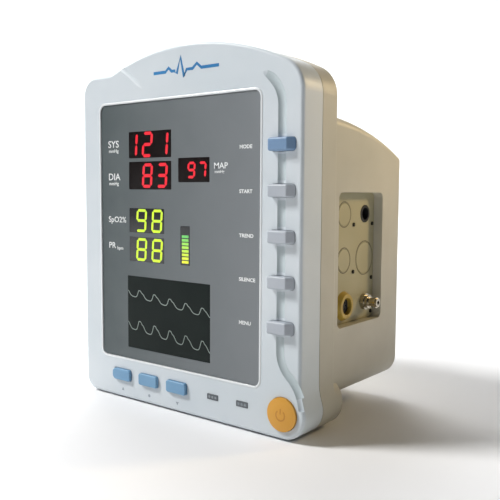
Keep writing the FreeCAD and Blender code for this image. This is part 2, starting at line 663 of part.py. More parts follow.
def rear_block(name, inset, start):
    """The rear body: a block under the curved roof, with round lower edges."""
    t = value_of(inset)
    block = box(name + "_box", (inset - d.body_x, d.body_x - inset), (start, d.back_y - inset),
                (d.body_low + inset, d.body_top))
    low = value_of(d.body_low + inset)
    keel = rounded(name + "_keel", block, d.body_low_radius - inset,
                   lambda e: runs_along(e, "y") and abs(e.BoundBox.ZMin - low) < 1e-4)
    roof = rod(name + "_roof", "X", (-d.half_w, d.roof_y, d.roof_z), d.half_w * 2, d.roof_radius - inset)
    vault = common(name + "_vault", keel, roof)
    x_side = value_of(d.body_x) - t
    doc.recompute()

    def is_roof_side(e):
        bounds = e.BoundBox
        return bounds.XLength < 1e-4 and abs(abs(bounds.XMin) - x_side) < 1e-4 and bounds.ZLength > 5 \
            and e.Curve.TypeId != "Part::GeomLine"

    def radii(edge):
        front_first = edge.valueAt(edge.FirstParameter).y < edge.valueAt(edge.LastParameter).y
        near, far = d.roof_edge_radius.value - t * 0.6, d.back_edge_radius.value
        return (near, far) if front_first else (far, near)

    made = doc.addObject("Part::Fillet", name)
    made.Base = vault
    made.Edges = [(i, *radii(e)) for i, e in enumerate(vault.Shape.Edges, start=1) if is_roof_side(e)]
    return made


def slots(name, axis, first, pitch, count, size):
    """A row of thin blocks, each of half sizes size, spaced by pitch along axis."""
    made = []
    for i in range(count):
        centre = list(first)
        centre[axis] = centre[axis] + pitch * i
        made.append(box(name, *[(c - h, c + h) for c, h in zip(centre, size)]))
    return made


DOOR_SCREWS = (5.4, 66.6)


def build_rear_shell():
    seam = d.seam_y + d.seam_gap
    rim_body = doc.addObject("PartDesign::Body", "rim_body")
    sketch = front_sketch(rim_body, "rim_outline", seam)
    crown_outline(sketch)
    rim_pad = pad(rim_body, sketch, d.rim_y - seam)
    soften(rim_body, rim_pad, d.edge_fillet, lambda e: lies_at(e, d.rim_y))
    lobe = rounded("lobe_round", rod("lobe_rod", "Y", (d.lobe_x, seam, d.lobe_z), d.lobe_y - seam,
                                     d.lobe_radius), d.edge_fillet, lambda e: lies_at(e, d.lobe_y))
    outer = rear_block("rear_outer", 0.0, d.rim_y - 8)
    posts = [rod("rear_post", "Z", (x, d.rear_foot_y, 2.0), d.body_low + 12.0, d.post_radius)
             for x in (-d.rear_foot_x, d.rear_foot_x)]
    solid = join("rear_solid", rim_body, lobe, outer, *posts)

    hollow_rim = outline_body("rim_hollow", seam - 1, d.rim_y - d.wall - seam + 1, d.wall)
    hollow_lobe = rod("lobe_hollow", "Y", (d.lobe_x, seam - 1, d.lobe_z), d.lobe_y - d.wall - seam + 1,
                      d.lobe_radius - d.wall)
    hollow = rear_block("rear_hollow", d.wall, d.seam_y)
    shell = cut("rear_thin", solid, hollow_rim, hollow_lobe, hollow)

    rib, floor_x = d.bay_rib, d.bay_floor - d.plate
    bay_wall = box("bay_wall", (floor_x - rib, d.body_x - 0.5), (d.bay_front - rib, d.bay_back + rib),
                   (d.bay_low - rib, d.bay_high + rib))
    grip_wall = box("grip_wall", (-d.grip_x - d.wall, d.grip_x + d.wall), (d.grip_y, d.rim_y - 1),
                    (d.grip_low - d.wall, d.grip_high + d.wall))
    inlet_pad = box("inlet_pad", (d.inlet_x - 28, d.stud_x + 12), (d.pocket_y - d.wall, d.back_y - 1),
                    (d.inlet_z - 16, d.inlet_z + 16))
    half = d.bolt_spacing * 0.5
    bolt_places = [(x, z) for x in (-half, half) for z in (d.bolt_z - half, d.bolt_z + half)]
    bolt_bosses = [rod("bolt_boss", "Y", (x, d.back_y - 10, z), 9.0, d.tube_radius) for x, z in bolt_places]
    crown_bosses = [rod("crown_boss", "Y", (x, seam, z), d.rim_y - 1 - seam, d.tube_radius)
                    for x, z in screw_places()[:2]]
    tubes = [rod("deep_tube", "Y", (x, seam, z), d.back_y - 1 - seam, d.tube_radius)
             for x, z in screw_places()[2:]]
    ribbed = join("rear_ribbed", shell, bay_wall, grip_wall, inlet_pad, *bolt_bosses, *crown_bosses, *tubes)

    tools = [
        soft_box("bay_well", (floor_x, d.half_w), (d.bay_front, d.bay_back), (d.bay_low, d.bay_high), 4.5, "x"),
        box("bay_window", (floor_x - rib - 1, floor_x + 1), (d.bay_front + 3, d.bay_back - 0.5),
            (d.bay_low + 3, d.bay_high - 3)),
        soft_box("grip_well", (-d.grip_x, d.grip_x), (d.grip_y + d.wall, d.rim_y + 1),
                 (d.grip_low, d.grip_high), 8.0, "y"),
        box("inlet_pocket", (d.inlet_x - 25.5, d.stud_x + 9.5), (d.pocket_y, d.back_y + 1),
            (d.inlet_z - 13, d.inlet_z + 13)),
        box("inlet_hole", (d.inlet_x - 14.2, d.inlet_x + 14.2), (d.pocket_y - 6, d.back_y),
            (d.inlet_z - 10.4, d.inlet_z + 10.4)),
        rod("stud_hole", "Y", (d.stud_x, d.pocket_y - 6, d.inlet_z), 12.0, 4.1),
        box("jack_hole", (d.jack_x - 8.2, d.jack_x + 8.2), (d.back_y - 6, d.back_y + 1),
            (d.jack_z - 7.2, d.jack_z + 7.2)),
        box("battery_door_seat", (1.8, 70.2), (49.8, 110.2), (d.body_low - 1, d.body_low + 1.6)),
        box("battery_hole", (8.8, 63.2), (52.8, 107.2), (d.body_low - 1, d.body_low + 5)),
    ]
    tools += [rod("screw_way", "Y", (x, seam - 1, z), 30.0, d.screw_hole) for x, z in screw_places()]
    tools += [rod("head_way", "Y", (x, d.head_y, z), 12.0, d.tube_bore) for x, z in screw_places()[:2]]
    tools += [rod("head_tube", "Y", (x, d.head_y, z), 110.0, d.tube_bore) for x, z in screw_places()[2:]]
    tools += [rod("inlet_thread", "Y", (d.inlet_x + side, d.pocket_y - 6, d.inlet_z), 9.0, 1.5)
              for side in (-20.0, 20.0)]
    tools += [rod("bolt_hole", "Y", (x, d.back_y - 9, z), 12.0, d.bolt_radius) for x, z in bolt_places]
    tools += [rod("foot_well", "Z", (x, d.front_foot_y, 0.0), 2.7, d.foot_radius + 0.1)
              for x in (-d.foot_x, d.foot_x)]
    tools += [rod("post_well", "Z", (x, d.rear_foot_y, 0.0), 4.0, d.foot_radius + 0.1)
              for x in (-d.rear_foot_x, d.rear_foot_x)]
    tools += [rod("door_screw_way", "Z", (x, 80.0, d.body_low - 1), 8.0, 1.35) for x in DOOR_SCREWS]
    tools += slots("vent_slot", 0, (-54.0, d.back_y, 184.0), 12.0, 10, (3.4, 6.0, 1.2))
    tools += slots("vent_slot_low", 0, (-54.0, d.back_y, 178.0), 12.0, 10, (3.4, 6.0, 1.2))
    tools += slots("speaker_slot", 1, (-d.body_x, 76.0, 140.0), 5.0, 7, (6.0, 1.1, 15.0))
    node(cut("rear", ribbed, *tools), "rear_shell")


# ---------------------------------------------------------------- connector panel

def build_side_panel():
    low_x, high_x = d.bay_floor - d.plate, d.bay_floor
    plate = soft_box("bay_plate", (low_x, high_x), (d.bay_front + d.gap, d.bay_back - d.gap),
                     (d.bay_low + d.gap, d.bay_high - d.gap), 4.2, "x")
    holes = [(d.col_front, d.row_high, d.plug_radius), (d.col_front, d.row_mid, d.plug_radius),
             (d.col_back, d.row_mid, d.big_plug_radius), (d.col_back, d.row_high, d.temp_radius + 0.1),
             (d.col_front, d.row_low, d.spo2_neck + 0.1), (d.col_back, d.row_low, d.nibp_stem + 1.0)]
    cutters = [rod("panel_hole", "X", (low_x - 1, y, z), d.plate + 2, r) for y, z, r in holes]
    dots = [(d.col_front + 13, d.row_high - 7.5), (d.bay_back - 3.5, d.row_high - 7.5),
            (d.col_front + 13, d.row_mid - 9.0), (d.bay_back - 3.5, d.row_mid - 15.5),
            (d.bay_back - 3.5, d.row_low - 8.5)]
    cutters += [rod("dot_hole", "X", (low_x - 1, y, z), d.plate + 2, d.dot_radius - 0.3) for y, z in dots]
    node(cut("side_plate", plate, *cutters), "side_panel")

    def plug(label, y, z, radius):
        slim = radius - d.plug_gap
        disc = rod(label + "_disc", "X", (low_x + 0.2, y, z), d.plate - 0.1, slim)
        back = rod(label + "_back", "X", (low_x - 1.4, y, z), 1.3, radius + 0.8)
        neck = rod(label + "_neck", "X", (low_x - 0.5, y, z), 1.0, slim)
        node(join(label + "_plug", disc, back, neck), label)

    plug("blank_plug_upper", d.col_front, d.row_high, d.plug_radius)
    plug("blank_plug_middle", d.col_front, d.row_mid, d.plug_radius)
    plug("blank_plug_large", d.col_back, d.row_mid, d.big_plug_radius)

    temp = join("temp_case", rod("temp_barrel", "X", (high_x - d.temp_depth - 3, d.col_back, d.row_high),
                                 d.temp_depth + 3.4, d.temp_radius),
                rod("temp_collar", "X", (low_x - 2.6, d.col_back, d.row_high), 2.5, d.temp_radius + 2))
    node(cut("temp_body", temp, rod("temp_way", "X", (high_x - d.temp_depth, d.col_back, d.row_high),
                                    d.temp_depth + 1, d.temp_bore)), "temp_socket")

    face = high_x + d.spo2_proud
    barrel = rounded("spo2_rim", taper("spo2_barrel", "X", (high_x + 0.1, d.col_front, d.row_low),
                                       d.spo2_proud - 0.1, d.spo2_flange, d.spo2_nose), 0.8,
                     lambda e: abs(e.BoundBox.XMin - value_of(face)) < 1e-3)
    neck = rod("spo2_neck", "X", (low_x - 9, d.col_front, d.row_low), d.plate + 9.5, d.spo2_neck)
    way = rod("spo2_way", "X", (face - d.spo2_depth, d.col_front, d.row_low), d.spo2_depth + 1, d.spo2_bore)
    node(cut("spo2_body", join("spo2_case", barrel, neck), way), "spo2_socket")
    core = rod("spo2_core", "X", (face - d.spo2_depth, d.col_front, d.row_low), d.spo2_depth - 3,
               d.spo2_bore - 0.4)
    base = rod("spo2_base", "X", (face - d.spo2_depth, d.col_front, d.row_low), 1.5, d.spo2_bore - 0.05)
    pins = [rod("spo2_pin_hole", "X", (face - d.spo2_depth + 6, d.col_front + 2.6 * math.cos(a),
                                       d.row_low + 2.6 * math.sin(a)), 6.0, 0.6)
            for a in [math.radians(60 * i) for i in range(6)]]
    node(cut("spo2_insert_cut", join("spo2_insert_block", core, base), *pins), "spo2_insert")

    stem_end = d.half_w - high_x
    parts = [rod("nibp_collar", "X", (high_x + 0.1, d.col_back, d.row_low), 2.9, d.nibp_flange),
             rod("nibp_step", "X", (high_x + 3, d.col_back, d.row_low), 2.2, d.nibp_stem + 1.6),
             rod("nibp_tube", "X", (low_x - 8, d.col_back, d.row_low), d.plate + 8 + stem_end, d.nibp_stem),
             rod("nibp_barb", "X", (low_x - 14, d.col_back, d.row_low), 7.0, d.nibp_barb),
             rod("nibp_ring", "X", (d.half_w - 2.6, d.col_back, d.row_low), 1.6, d.nibp_bead)]
    bore = rod("nibp_way", "X", (low_x - 15, d.col_back, d.row_low), 40.0, d.nibp_bore)
    node(cut("nibp_body", join("nibp_case", *parts), bore), "nibp_connector")
    nut = doc.addObject("Part::Prism", "nibp_nut_block")
    nut.Polygon = 6
    bind(nut, Circumradius=d.nibp_flange, Height=3.0)
    place(nut, "X", low_x - 3.1, d.col_back, d.row_low)
    node(cut("nibp_nut_cut", nut, rod("nibp_nut_hole", "X", (low_x - 4, d.col_back, d.row_low), 5.0,
                                      d.nibp_stem + 0.05)), "nibp_nut")

    def panel_screw(y, z):
        head = rod("dot_head", "X", (high_x + 0.05, y, z), 0.7, d.dot_radius)
        shank = rod("dot_shank", "X", (low_x, y, z), d.plate + 0.4, d.dot_radius - 0.4)
        slot = box("dot_slot", (high_x + 0.4, high_x + 2), (y - 2, y + 2), (z - 0.2, z + 0.2))
        return cut("panel_screw", join("dot_screw", head, shank), slot)

    node(group("panel_screw_set", *[panel_screw(y, z) for y, z in dots]), "panel_screws")


# ---------------------------------------------------------------- back connectors

def build_back():
    x, z = d.inlet_x, d.inlet_z
    front, face = d.pocket_y, d.pocket_y + 2.6
    flange = soft_box("inlet_flange", (x - d.inlet_half_w, x + d.inlet_half_w), (front + 0.1, face),
                      (z - d.inlet_half_h, z + d.inlet_half_h), 5.0)
    body = box("inlet_case", (x - 13.8, x + 13.8), (front - 20, face), (z - 10.0, z + 10.0))
    mouth = box("inlet_mouth", (x - 12.2, x + 12.2), (front - 15, face + 1), (z - 8.0, z + 8.0))
    ears = [(x - 20, z), (x + 20, z)]
    holes = [rod("inlet_ear", "Y", (ex, front - 4, ez), 9.0, 1.7) for ex, ez in ears]
    holes += [rod("inlet_sink", "Y", (ex, face - 1.6, ez), 3.0, 3.0) for ex, ez in ears]
    node(cut("inlet_cut", join("inlet_block", flange, body), mouth, *holes), "ac_inlet")
    blades = [(x - 7, z - 2), (x, z + 2), (x + 7, z - 2)]
    node(group("inlet_pin_set", *[box("inlet_blade", (bx - 1.0, bx + 1.0), (front - 14.95, front - 4.5),
                                      (bz - 2.0, bz + 2.0)) for bx, bz in blades]), "inlet_pins")
    fixings = []
    for ex, ez in ears:
        head = rod("inlet_head", "Y", (ex, face - 1.55, ez), 1.4, 2.8)
        shank = rod("inlet_shank", "Y", (ex, front - 5, ez), face - front + 3.5, 1.45)
        slot = box("inlet_slot", (ex - 3, ex + 3), (face - 0.7, face + 3), (ez - 0.35, ez + 0.35))
        fixings.append(cut("inlet_screw", join("inlet_screw_body", head, shank), slot))
    node(group("inlet_screw_set", *fixings), "inlet_screws")

    sx = d.stud_x
    stud = join("stud_join", rod("stud_collar", "Y", (sx, front + 0.1, z), 2.6, 6.2),
                rod("stud_shank", "Y", (sx, front - 8, z), 9.0, 4.0),
                rod("stud_pin", "Y", (sx, front, z), d.back_y + d.stud_length - front, d.stud_radius))
    end = depth(d.back_y + d.stud_length).value
    node(rounded("stud_round", stud, 0.8, lambda e: abs(e.BoundBox.YMin - end) < 1e-3), "equipotential_stud")

    jx, jz = d.jack_x, d.jack_z
    jack = box("jack_case", (jx - 8.0, jx + 8.0), (d.back_y - 18, d.back_y - 0.2), (jz - 7.0, jz + 7.0))
    hole = box("jack_mouth", (jx - 6.0, jx + 6.0), (d.back_y - 13, d.back_y + 1), (jz - 4.6, jz + 3.4))
    notch = box("jack_notch", (jx - 2.0, jx + 2.0), (d.back_y - 13, d.back_y + 1), (jz - 6.2, jz))
    node(cut("jack_cut", jack, hole, notch), "network_jack")


# ---------------------------------------------------------------- insides

def build_insides():
    y = d.chassis_y
    back = y + d.chassis_thick
    plate = box("chassis_sheet", (-82.0, 66.0), (y, back), (34.0, 204.0))
    windows_cut = [box("chassis_window", (x, x + 34.0), (y - 1, back + 1), (z, z + 44.0))
                   for x in (-70.0, -24.0, 22.0) for z in (64.0, 130.0)]
    node(cut("chassis_cut", plate, *windows_cut), "chassis")
    spots = [(-76.0, 44.0), (56.0, 44.0), (-76.0, 196.0), (56.0, 196.0)]
    front = [rod("front_standoff", "Y", (px, d.display_board_y + d.board_thick, pz),
                 y - d.display_board_y - d.board_thick, 2.6) for px, pz in spots]
    rear = [rod("rear_standoff", "Y", (px, back, pz), d.main_board_y - back, 2.6) for px, pz in spots]
    node(group("standoff_set", *front, *rear), "standoffs")

    top = d.main_board_y + d.board_thick
    board = box("main_sheet", (-84.0, 62.0), (d.main_board_y, top), (38.0, 202.0))
    chips = [((-60.0, -34.0), 3.0, (120.0, 146.0)), ((-20.0, -4.0), 2.4, (128.0, 140.0)),
             ((10.0, 26.0), 2.4, (150.0, 170.0)), ((-70.0, -40.0), 9.0, (184.0, 192.0)),
             ((-10.0, 24.0), 9.0, (184.0, 192.0)), ((36.0, 52.0), 6.0, (60.0, 84.0))]
    blocks = [box("board_chip", x, (top - 0.2, top + tall), z) for x, tall, z in chips]
    node(join("main_joined", board, *blocks), "main_board")

    supply = box("supply_sheet", (-86.0, 0.0), (56.0, 112.0), (34.0, 35.6))
    cans = [rod("supply_can", "Z", (px, py, 35.4), 22.0, 6.0) for px, py in ((-14.0, 68.0), (-14.0, 84.0))]
    sink = box("supply_sink", (-26.0, -23.5), (62.0, 104.0), (35.4, 62.0))
    node(join("supply_joined", supply, sink, *cans), "power_supply")
    core = box("transformer_core", (-80.0, -38.0), (66.0, 102.0), (35.7, 66.0))
    coil = soft_box("transformer_coil", (-72.0, -46.0), (60.0, 108.0), (39.0, 62.0), 4.0, "z")
    node(join("transformer_join", core, coil), "transformer")

    node(soft_box("battery_case", (10.0, 62.0), (53.0, 107.0), (23.5, 60.0), 3.0, "z"), "battery_pack")
    door = box("door_plate", (2.0, 70.0), (50.0, 110.0), (18.0, 19.5))
    ways = [rod("door_way", "Z", (px, 80.0, 17.0), 4.0, 1.4) for px in DOOR_SCREWS]
    wells = [rod("door_sink", "Z", (px, 80.0, 17.5), 1.2, 2.5) for px in DOOR_SCREWS]
    node(cut("door_cut", door, *ways, *wells), "battery_door")
    node(group("door_screw_set", *[join("door_screw", rod("door_head", "Z", (px, 80.0, 18.0), 0.65, 2.3),
                                        rod("door_shank", "Z", (px, 80.0, 18.0), 5.0, 1.25))
                                   for px in DOOR_SCREWS]), "battery_door_screws")

    motor = rod("pump_motor", "Z", (34.0, 78.0, 96.0), 34.0, 12.0)
    head = soft_box("pump_head", (21.0, 47.0), (65.0, 91.0), (130.0, 150.0), 4.0, "z")
    outlet = rod("pump_outlet", "X", (46.0, 78.0, 140.0), 8.0, 2.4)
    saddle = box("pump_saddle", (20.0, 48.0), (64.0, 66.4), (92.0, 150.0))
    node(join("pump_join", motor, head, outlet, saddle), "nibp_pump")
    block = soft_box("valve_case", (50.0, 66.0), (98.0, 114.0), (100.0, 126.0), 2.0, "z")
    spout = rod("valve_spout", "Z", (58.0, 106.0, 125.0), 9.0, 2.4)
    node(join("valve_join", block, spout), "nibp_valve")
    build_hose()

    cone_depth = 14.0
    start = d.wall - d.body_x + 0.2
    basket = taper("speaker_basket", "X", (start, 91.0, 140.0), cone_depth, 19.0, 11.0)
    dish = taper("speaker_dish", "X", (start - 0.5, 91.0, 140.0), 8.0, 16.0, 6.0)
    magnet = rod("speaker_magnet", "X", (start + cone_depth - 0.5, 91.0, 140.0), 6.5, 12.0)
    node(join("speaker_join", cut("speaker_cone", basket, dish), magnet), "speaker")


def build_hose():
    """Silicone air line: from the pump's outlet, up and over, down to the cuff connector's inner tube."""
    radius, bore, bend = 3.6, 2.42, 12.0
    inner = d.bay_floor.value - d.plate.value - 9.0
    end_y, end_z = d.col_back.value, d.row_low.value
    points = [(50.0, 78.0, 140.0), (64.0, 78.0, 140.0), (64.0, 78.0, 100.0), (64.0, end_y, end_z),
              (inner, end_y, end_z)]
    corners = [V(px, depth(py).value, pz) for px, py, pz in points]
    edges, here = [], corners[0]
    for before, corner, after in zip(corners, corners[1:], corners[2:]):
        back, ahead = (before - corner).normalize(), (after - corner).normalize()
        half = math.acos(max(-1.0, min(1.0, back.dot(ahead)))) / 2
        reach = min(bend / math.tan(half), 0.45 * (before - corner).Length, 0.45 * (after - corner).Length)
        radius_here = reach * math.tan(half)
        first, last = corner + back * reach, corner + ahead * reach
        middle_way = (back + ahead).normalize()
        centre = corner + middle_way * (reach / math.cos(half))
        middle = centre - middle_way * radius_here
        edges += [Part.LineSegment(here, first).toShape(), Part.Arc(first, middle, last).toShape()]
        here = last
    edges.append(Part.LineSegment(here, corners[-1]).toShape())
    path = Part.Wire(edges)
    across = corners[1] - corners[0]

    def tube(size):
        profile = Part.Wire(Part.Circle(corners[0], across, size).toShape())
        return path.makePipeShell([profile], True, False)

    made = doc.addObject("Part::Feature", "hose")
    made.Shape = tube(radius).cut(tube(bore))
    node(made, "air_hose")


# ---------------------------------------------------------------- fasteners and feet

def build_fasteners():
    screws = []
    for x, z in screw_places():
        head = rod("case_head", "Y", (x, d.head_y + 0.05, z), d.head_thick, d.head_radius)
        shank = rod("case_shank", "Y", (x, 8.0, z), d.head_y - 8.0 + 0.2, d.screw_radius)
        top = d.head_y + d.head_thick
        cross = [box("case_cross", (x - a, x + a), (top - 1, top + 1.6), (z - b, z + b))
                 for a, b in ((2.0, 0.4), (0.4, 2.0))]
        screws.append(cut("case_screw", join("case_screw_body", head, shank), *cross))
    node(group("case_screw_set", *screws), "case_screws")
    node(group("front_pads", *[rod("front_pad", "Z", (x, d.front_foot_y, 0.0), 2.65, d.foot_radius)
                               for x in (-d.foot_x, d.foot_x)]), "front_feet")
    node(group("rear_pads", *[rod("rear_pad", "Z", (x, d.rear_foot_y, 0.0), 3.95, d.foot_radius)
                              for x in (-d.rear_foot_x, d.rear_foot_x)]), "rear_feet")


def main():
    fill_sheet()
    build_bezel()
    build_gasket()
    build_panel()
    build_readouts()
    build_keys()
    build_power_button()
    build_indicators()
    build_key_boards()
    build_rear_shell()
    build_side_panel()
    build_back()
    build_insides()
    build_fasteners()
    doc.recompute()
    for thing in doc.Objects:
        if "Invalid" in thing.State or "Error" in thing.State:
            raise RuntimeError(f"{thing.Name} ({thing.Label}) failed: {thing.State}")
    os.makedirs("parts", exist_ok=True)
    for thing in NODES:
        shape = thing.Shape
        if shape.isNull() or not shape.isValid() or not shape.Solids:
            raise RuntimeError(f"{thing.Label} has no valid solid")
        shape.exportStep(os.path.join("parts", thing.Label + ".step"))
        print(f"{thing.Label}: {len(shape.Solids)} solid(s), {shape.Volume / 1000:.2f} cm3")


main()
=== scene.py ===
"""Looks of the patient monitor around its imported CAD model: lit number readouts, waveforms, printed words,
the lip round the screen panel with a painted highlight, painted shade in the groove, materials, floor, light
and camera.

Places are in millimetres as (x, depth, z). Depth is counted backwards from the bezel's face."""
import json
import math

import bpy
from mathutils import Matrix, Vector


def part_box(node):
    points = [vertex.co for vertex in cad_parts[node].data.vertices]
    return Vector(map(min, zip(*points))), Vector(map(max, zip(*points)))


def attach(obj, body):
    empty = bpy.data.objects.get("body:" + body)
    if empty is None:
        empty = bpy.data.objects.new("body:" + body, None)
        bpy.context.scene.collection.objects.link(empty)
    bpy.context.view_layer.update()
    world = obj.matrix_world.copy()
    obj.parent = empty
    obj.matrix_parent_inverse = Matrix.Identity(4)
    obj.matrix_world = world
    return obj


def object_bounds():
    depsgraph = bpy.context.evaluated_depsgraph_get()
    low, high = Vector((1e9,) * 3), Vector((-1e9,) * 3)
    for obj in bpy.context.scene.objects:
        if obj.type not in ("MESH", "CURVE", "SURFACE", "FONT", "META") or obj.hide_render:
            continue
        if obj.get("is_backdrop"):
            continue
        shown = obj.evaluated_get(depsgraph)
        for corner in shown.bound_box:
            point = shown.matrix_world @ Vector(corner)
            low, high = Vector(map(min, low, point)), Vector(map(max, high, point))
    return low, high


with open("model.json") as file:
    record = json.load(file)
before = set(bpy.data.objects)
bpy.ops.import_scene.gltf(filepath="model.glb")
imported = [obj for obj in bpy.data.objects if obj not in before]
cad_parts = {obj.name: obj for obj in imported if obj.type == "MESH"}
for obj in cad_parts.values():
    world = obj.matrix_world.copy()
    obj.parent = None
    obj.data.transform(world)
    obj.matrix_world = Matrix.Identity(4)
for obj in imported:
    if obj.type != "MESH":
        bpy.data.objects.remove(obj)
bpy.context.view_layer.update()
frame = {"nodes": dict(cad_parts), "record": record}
nodes = frame["nodes"]
FACE_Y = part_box("front_bezel")[0].y
MM = 0.001


def place(x, depth, z):
    return Vector((x * MM, FACE_Y + depth * MM, z * MM))


def extent(node):
    """The node's X pair and Z pair in millimetres."""
    low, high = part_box(node)
    return (low.x / MM, high.x / MM), (low.z / MM, high.z / MM)


# ---------------------------------------------------------------- materials

def linear(red, green, blue):
    """An 8-bit colour as the shader's linear colour."""
    channels = []
    for value in (red, green, blue):
        v = value / 255
        channels.append(v / 12.92 if v <= 0.04045 else ((v + 0.055) / 1.055) ** 2.4)
    return (*channels, 1.0)


class Shader:
    """A Principled material whose colour, roughness and bump come from noise in object space."""

    def __init__(self, name, metallic=0.0, coat=0.0, specular=0.5):
        self.material = bpy.data.materials.new(name)
        self.material.use_nodes = True
        self.tree = self.material.node_tree
        self.main = self.tree.nodes["Principled BSDF"]
        self.main.inputs["Metallic"].default_value = metallic
        self.main.inputs["Coat Weight"].default_value = coat
        self.main.inputs["Specular IOR Level"].default_value = specular
        self.coords = self.tree.nodes.new("ShaderNodeTexCoord").outputs["Object"]

    def link(self, source, target):
        self.tree.links.new(source, target)

    def noise(self, scale, detail=3.0, roughness=0.55, stretch=None):
        node = self.tree.nodes.new("ShaderNodeTexNoise")
        node.inputs["Scale"].default_value = scale
        node.inputs["Detail"].default_value = detail
        node.inputs["Roughness"].default_value = roughness
        source = self.coords
        if stretch:
            mapping = self.tree.nodes.new("ShaderNodeMapping")
            mapping.inputs["Scale"].default_value = stretch
            self.link(self.coords, mapping.inputs["Vector"])
            source = mapping.outputs["Vector"]
        self.link(source, node.inputs["Vector"])
        return node.outputs["Fac"]

    def span(self, value, low, high, to_low=0.0, to_high=1.0, smooth=False):
        node = self.tree.nodes.new("ShaderNodeMapRange")
        node.interpolation_type = "SMOOTHSTEP" if smooth else "LINEAR"
        for name, number in (("From Min", low), ("From Max", high), ("To Min", to_low), ("To Max", to_high)):
            node.inputs[name].default_value = number
        self.link(value, node.inputs["Value"])
        return node.outputs["Result"]

    def mix(self, factor, first, second):
        node = self.tree.nodes.new("ShaderNodeMix")
        node.data_type = "RGBA"
        for socket, value in ((node.inputs[6], first), (node.inputs[7], second)):
            if isinstance(value, tuple):
                socket.default_value = value
            else:
                self.link(value, socket)
        self.link(factor, node.inputs[0])
        return node.outputs[2]

    def axis(self, index):
        node = self.tree.nodes.new("ShaderNodeSeparateXYZ")
        self.link(self.coords, node.inputs["Vector"])
        return node.outputs[index]

    def colour(self, source):
        self.link(source, self.main.inputs["Base Color"])
        return self

    def rough(self, low, high, scale=60.0):
        self.link(self.span(self.noise(scale), 0.3, 0.7, low, high), self.main.inputs["Roughness"])
        return self

    def bump(self, height, strength, distance=0.0003):
        node = self.tree.nodes.new("ShaderNodeBump")
        node.inputs["Strength"].default_value = strength
        node.inputs["Distance"].default_value = distance
        self.link(height, node.inputs["Height"])
        self.link(node.outputs["Normal"], self.main.inputs["Normal"])
        return self


def plastic(name, first, second, rough=(0.35, 0.5), grain=900.0, depth=0.12, patch=14.0, coat=0.0):
    """Moulded plastic: broad soft patches between two close colours over a fine spark-eroded grain."""
    made = Shader(name, coat=coat)
    made.colour(made.mix(made.span(made.noise(patch), 0.35, 0.65), linear(*first), linear(*second)))
    return made.rough(*rough).bump(made.noise(grain, detail=2.0), depth).material


def metal(name, first, second, rough=(0.18, 0.34), stretch=(1.0, 1.0, 1.0), scale=260.0):
    """Turned or drawn metal: fine streaks, with duller patches."""
    made = Shader(name, metallic=1.0)
    streaks = made.noise(scale, detail=4.0, stretch=stretch)
    made.colour(made.mix(streaks, linear(*first), linear(*second)))
    return made.rough(*rough, scale=90.0).bump(streaks, 0.08, 0.0001).material


def glow(name, first, second, strength):
    """A lit LED segment, a little uneven in colour."""
    made = Shader(name)
    made.main.inputs["Emission Strength"].default_value = strength
    blend = made.mix(made.span(made.noise(160.0), 0.3, 0.7), linear(*first), linear(*second))
    made.link(blend, made.main.inputs["Emission Color"])
    made.colour(blend)
    return made.rough(0.3, 0.45).material


def panel_grey():
    """The grey panel: dark green-grey on the left, grading to mid grey on the right, with a fine matt grain.
    """
    made = Shader("panel_grey", specular=0.4)
    (left, right), _ = extent("display_panel")
    across = made.span(made.axis("X"), left * MM, right * MM)
    tone = made.mix(across, linear(*PANEL_LEFT), linear(*PANEL_RIGHT))
    fine = made.mix(made.span(made.noise(40.0), 0.35, 0.65, 0.0, 0.05), tone, linear(150, 153, 155))
    made.colour(fine)
    return made.rough(0.42, 0.58).bump(made.noise(1400.0, detail=2.0), 0.10, 0.0001).material


def circuit_green():
    """Lacquered circuit board with copper runs showing through as lighter lines."""
    made = Shader("circuit_board", coat=0.3)
    wave = made.tree.nodes.new("ShaderNodeTexWave")
    wave.wave_type = "BANDS"
    wave.inputs["Scale"].default_value = 90.0
    wave.inputs["Distortion"].default_value = 9.0
    wave.inputs["Detail"].default_value = 1.0
    made.link(made.coords, wave.inputs["Vector"])
    runs = made.span(wave.outputs["Fac"], 0.72, 0.78)
    made.colour(made.mix(runs, linear(18, 74, 44), linear(42, 112, 66)))
    return made.rough(0.25, 0.4).bump(runs, 0.1, 0.0001).material


def lcd_black():
    """Passive liquid-crystal glass: green-black with a faint row-and-column pixel grid."""
    made = Shader("lcd_black", specular=0.12)
    half_pitch, half_line = 0.00022, 0.00005
    grid = []
    for axis in ("X", "Z"):
        node = made.tree.nodes.new("ShaderNodeMath")
        node.operation = "PINGPONG"
        node.inputs[1].default_value = half_pitch
        made.link(made.axis(axis), node.inputs[0])
        grid.append(made.span(node.outputs[0], 0.0, half_line))
    cross = made.tree.nodes.new("ShaderNodeMath")
    cross.operation = "MULTIPLY"
    made.link(grid[0], cross.inputs[0])
    made.link(grid[1], cross.inputs[1])
    cell = made.mix(made.span(made.noise(22.0), 0.35, 0.65), linear(20, 29, 28), linear(27, 36, 34))
    made.colour(made.mix(cross.outputs[0], linear(16, 23, 22), cell))
    return made.rough(0.3, 0.42).material


PANEL_LEFT, PANEL_RIGHT = (78, 88, 90), (126, 131, 135)

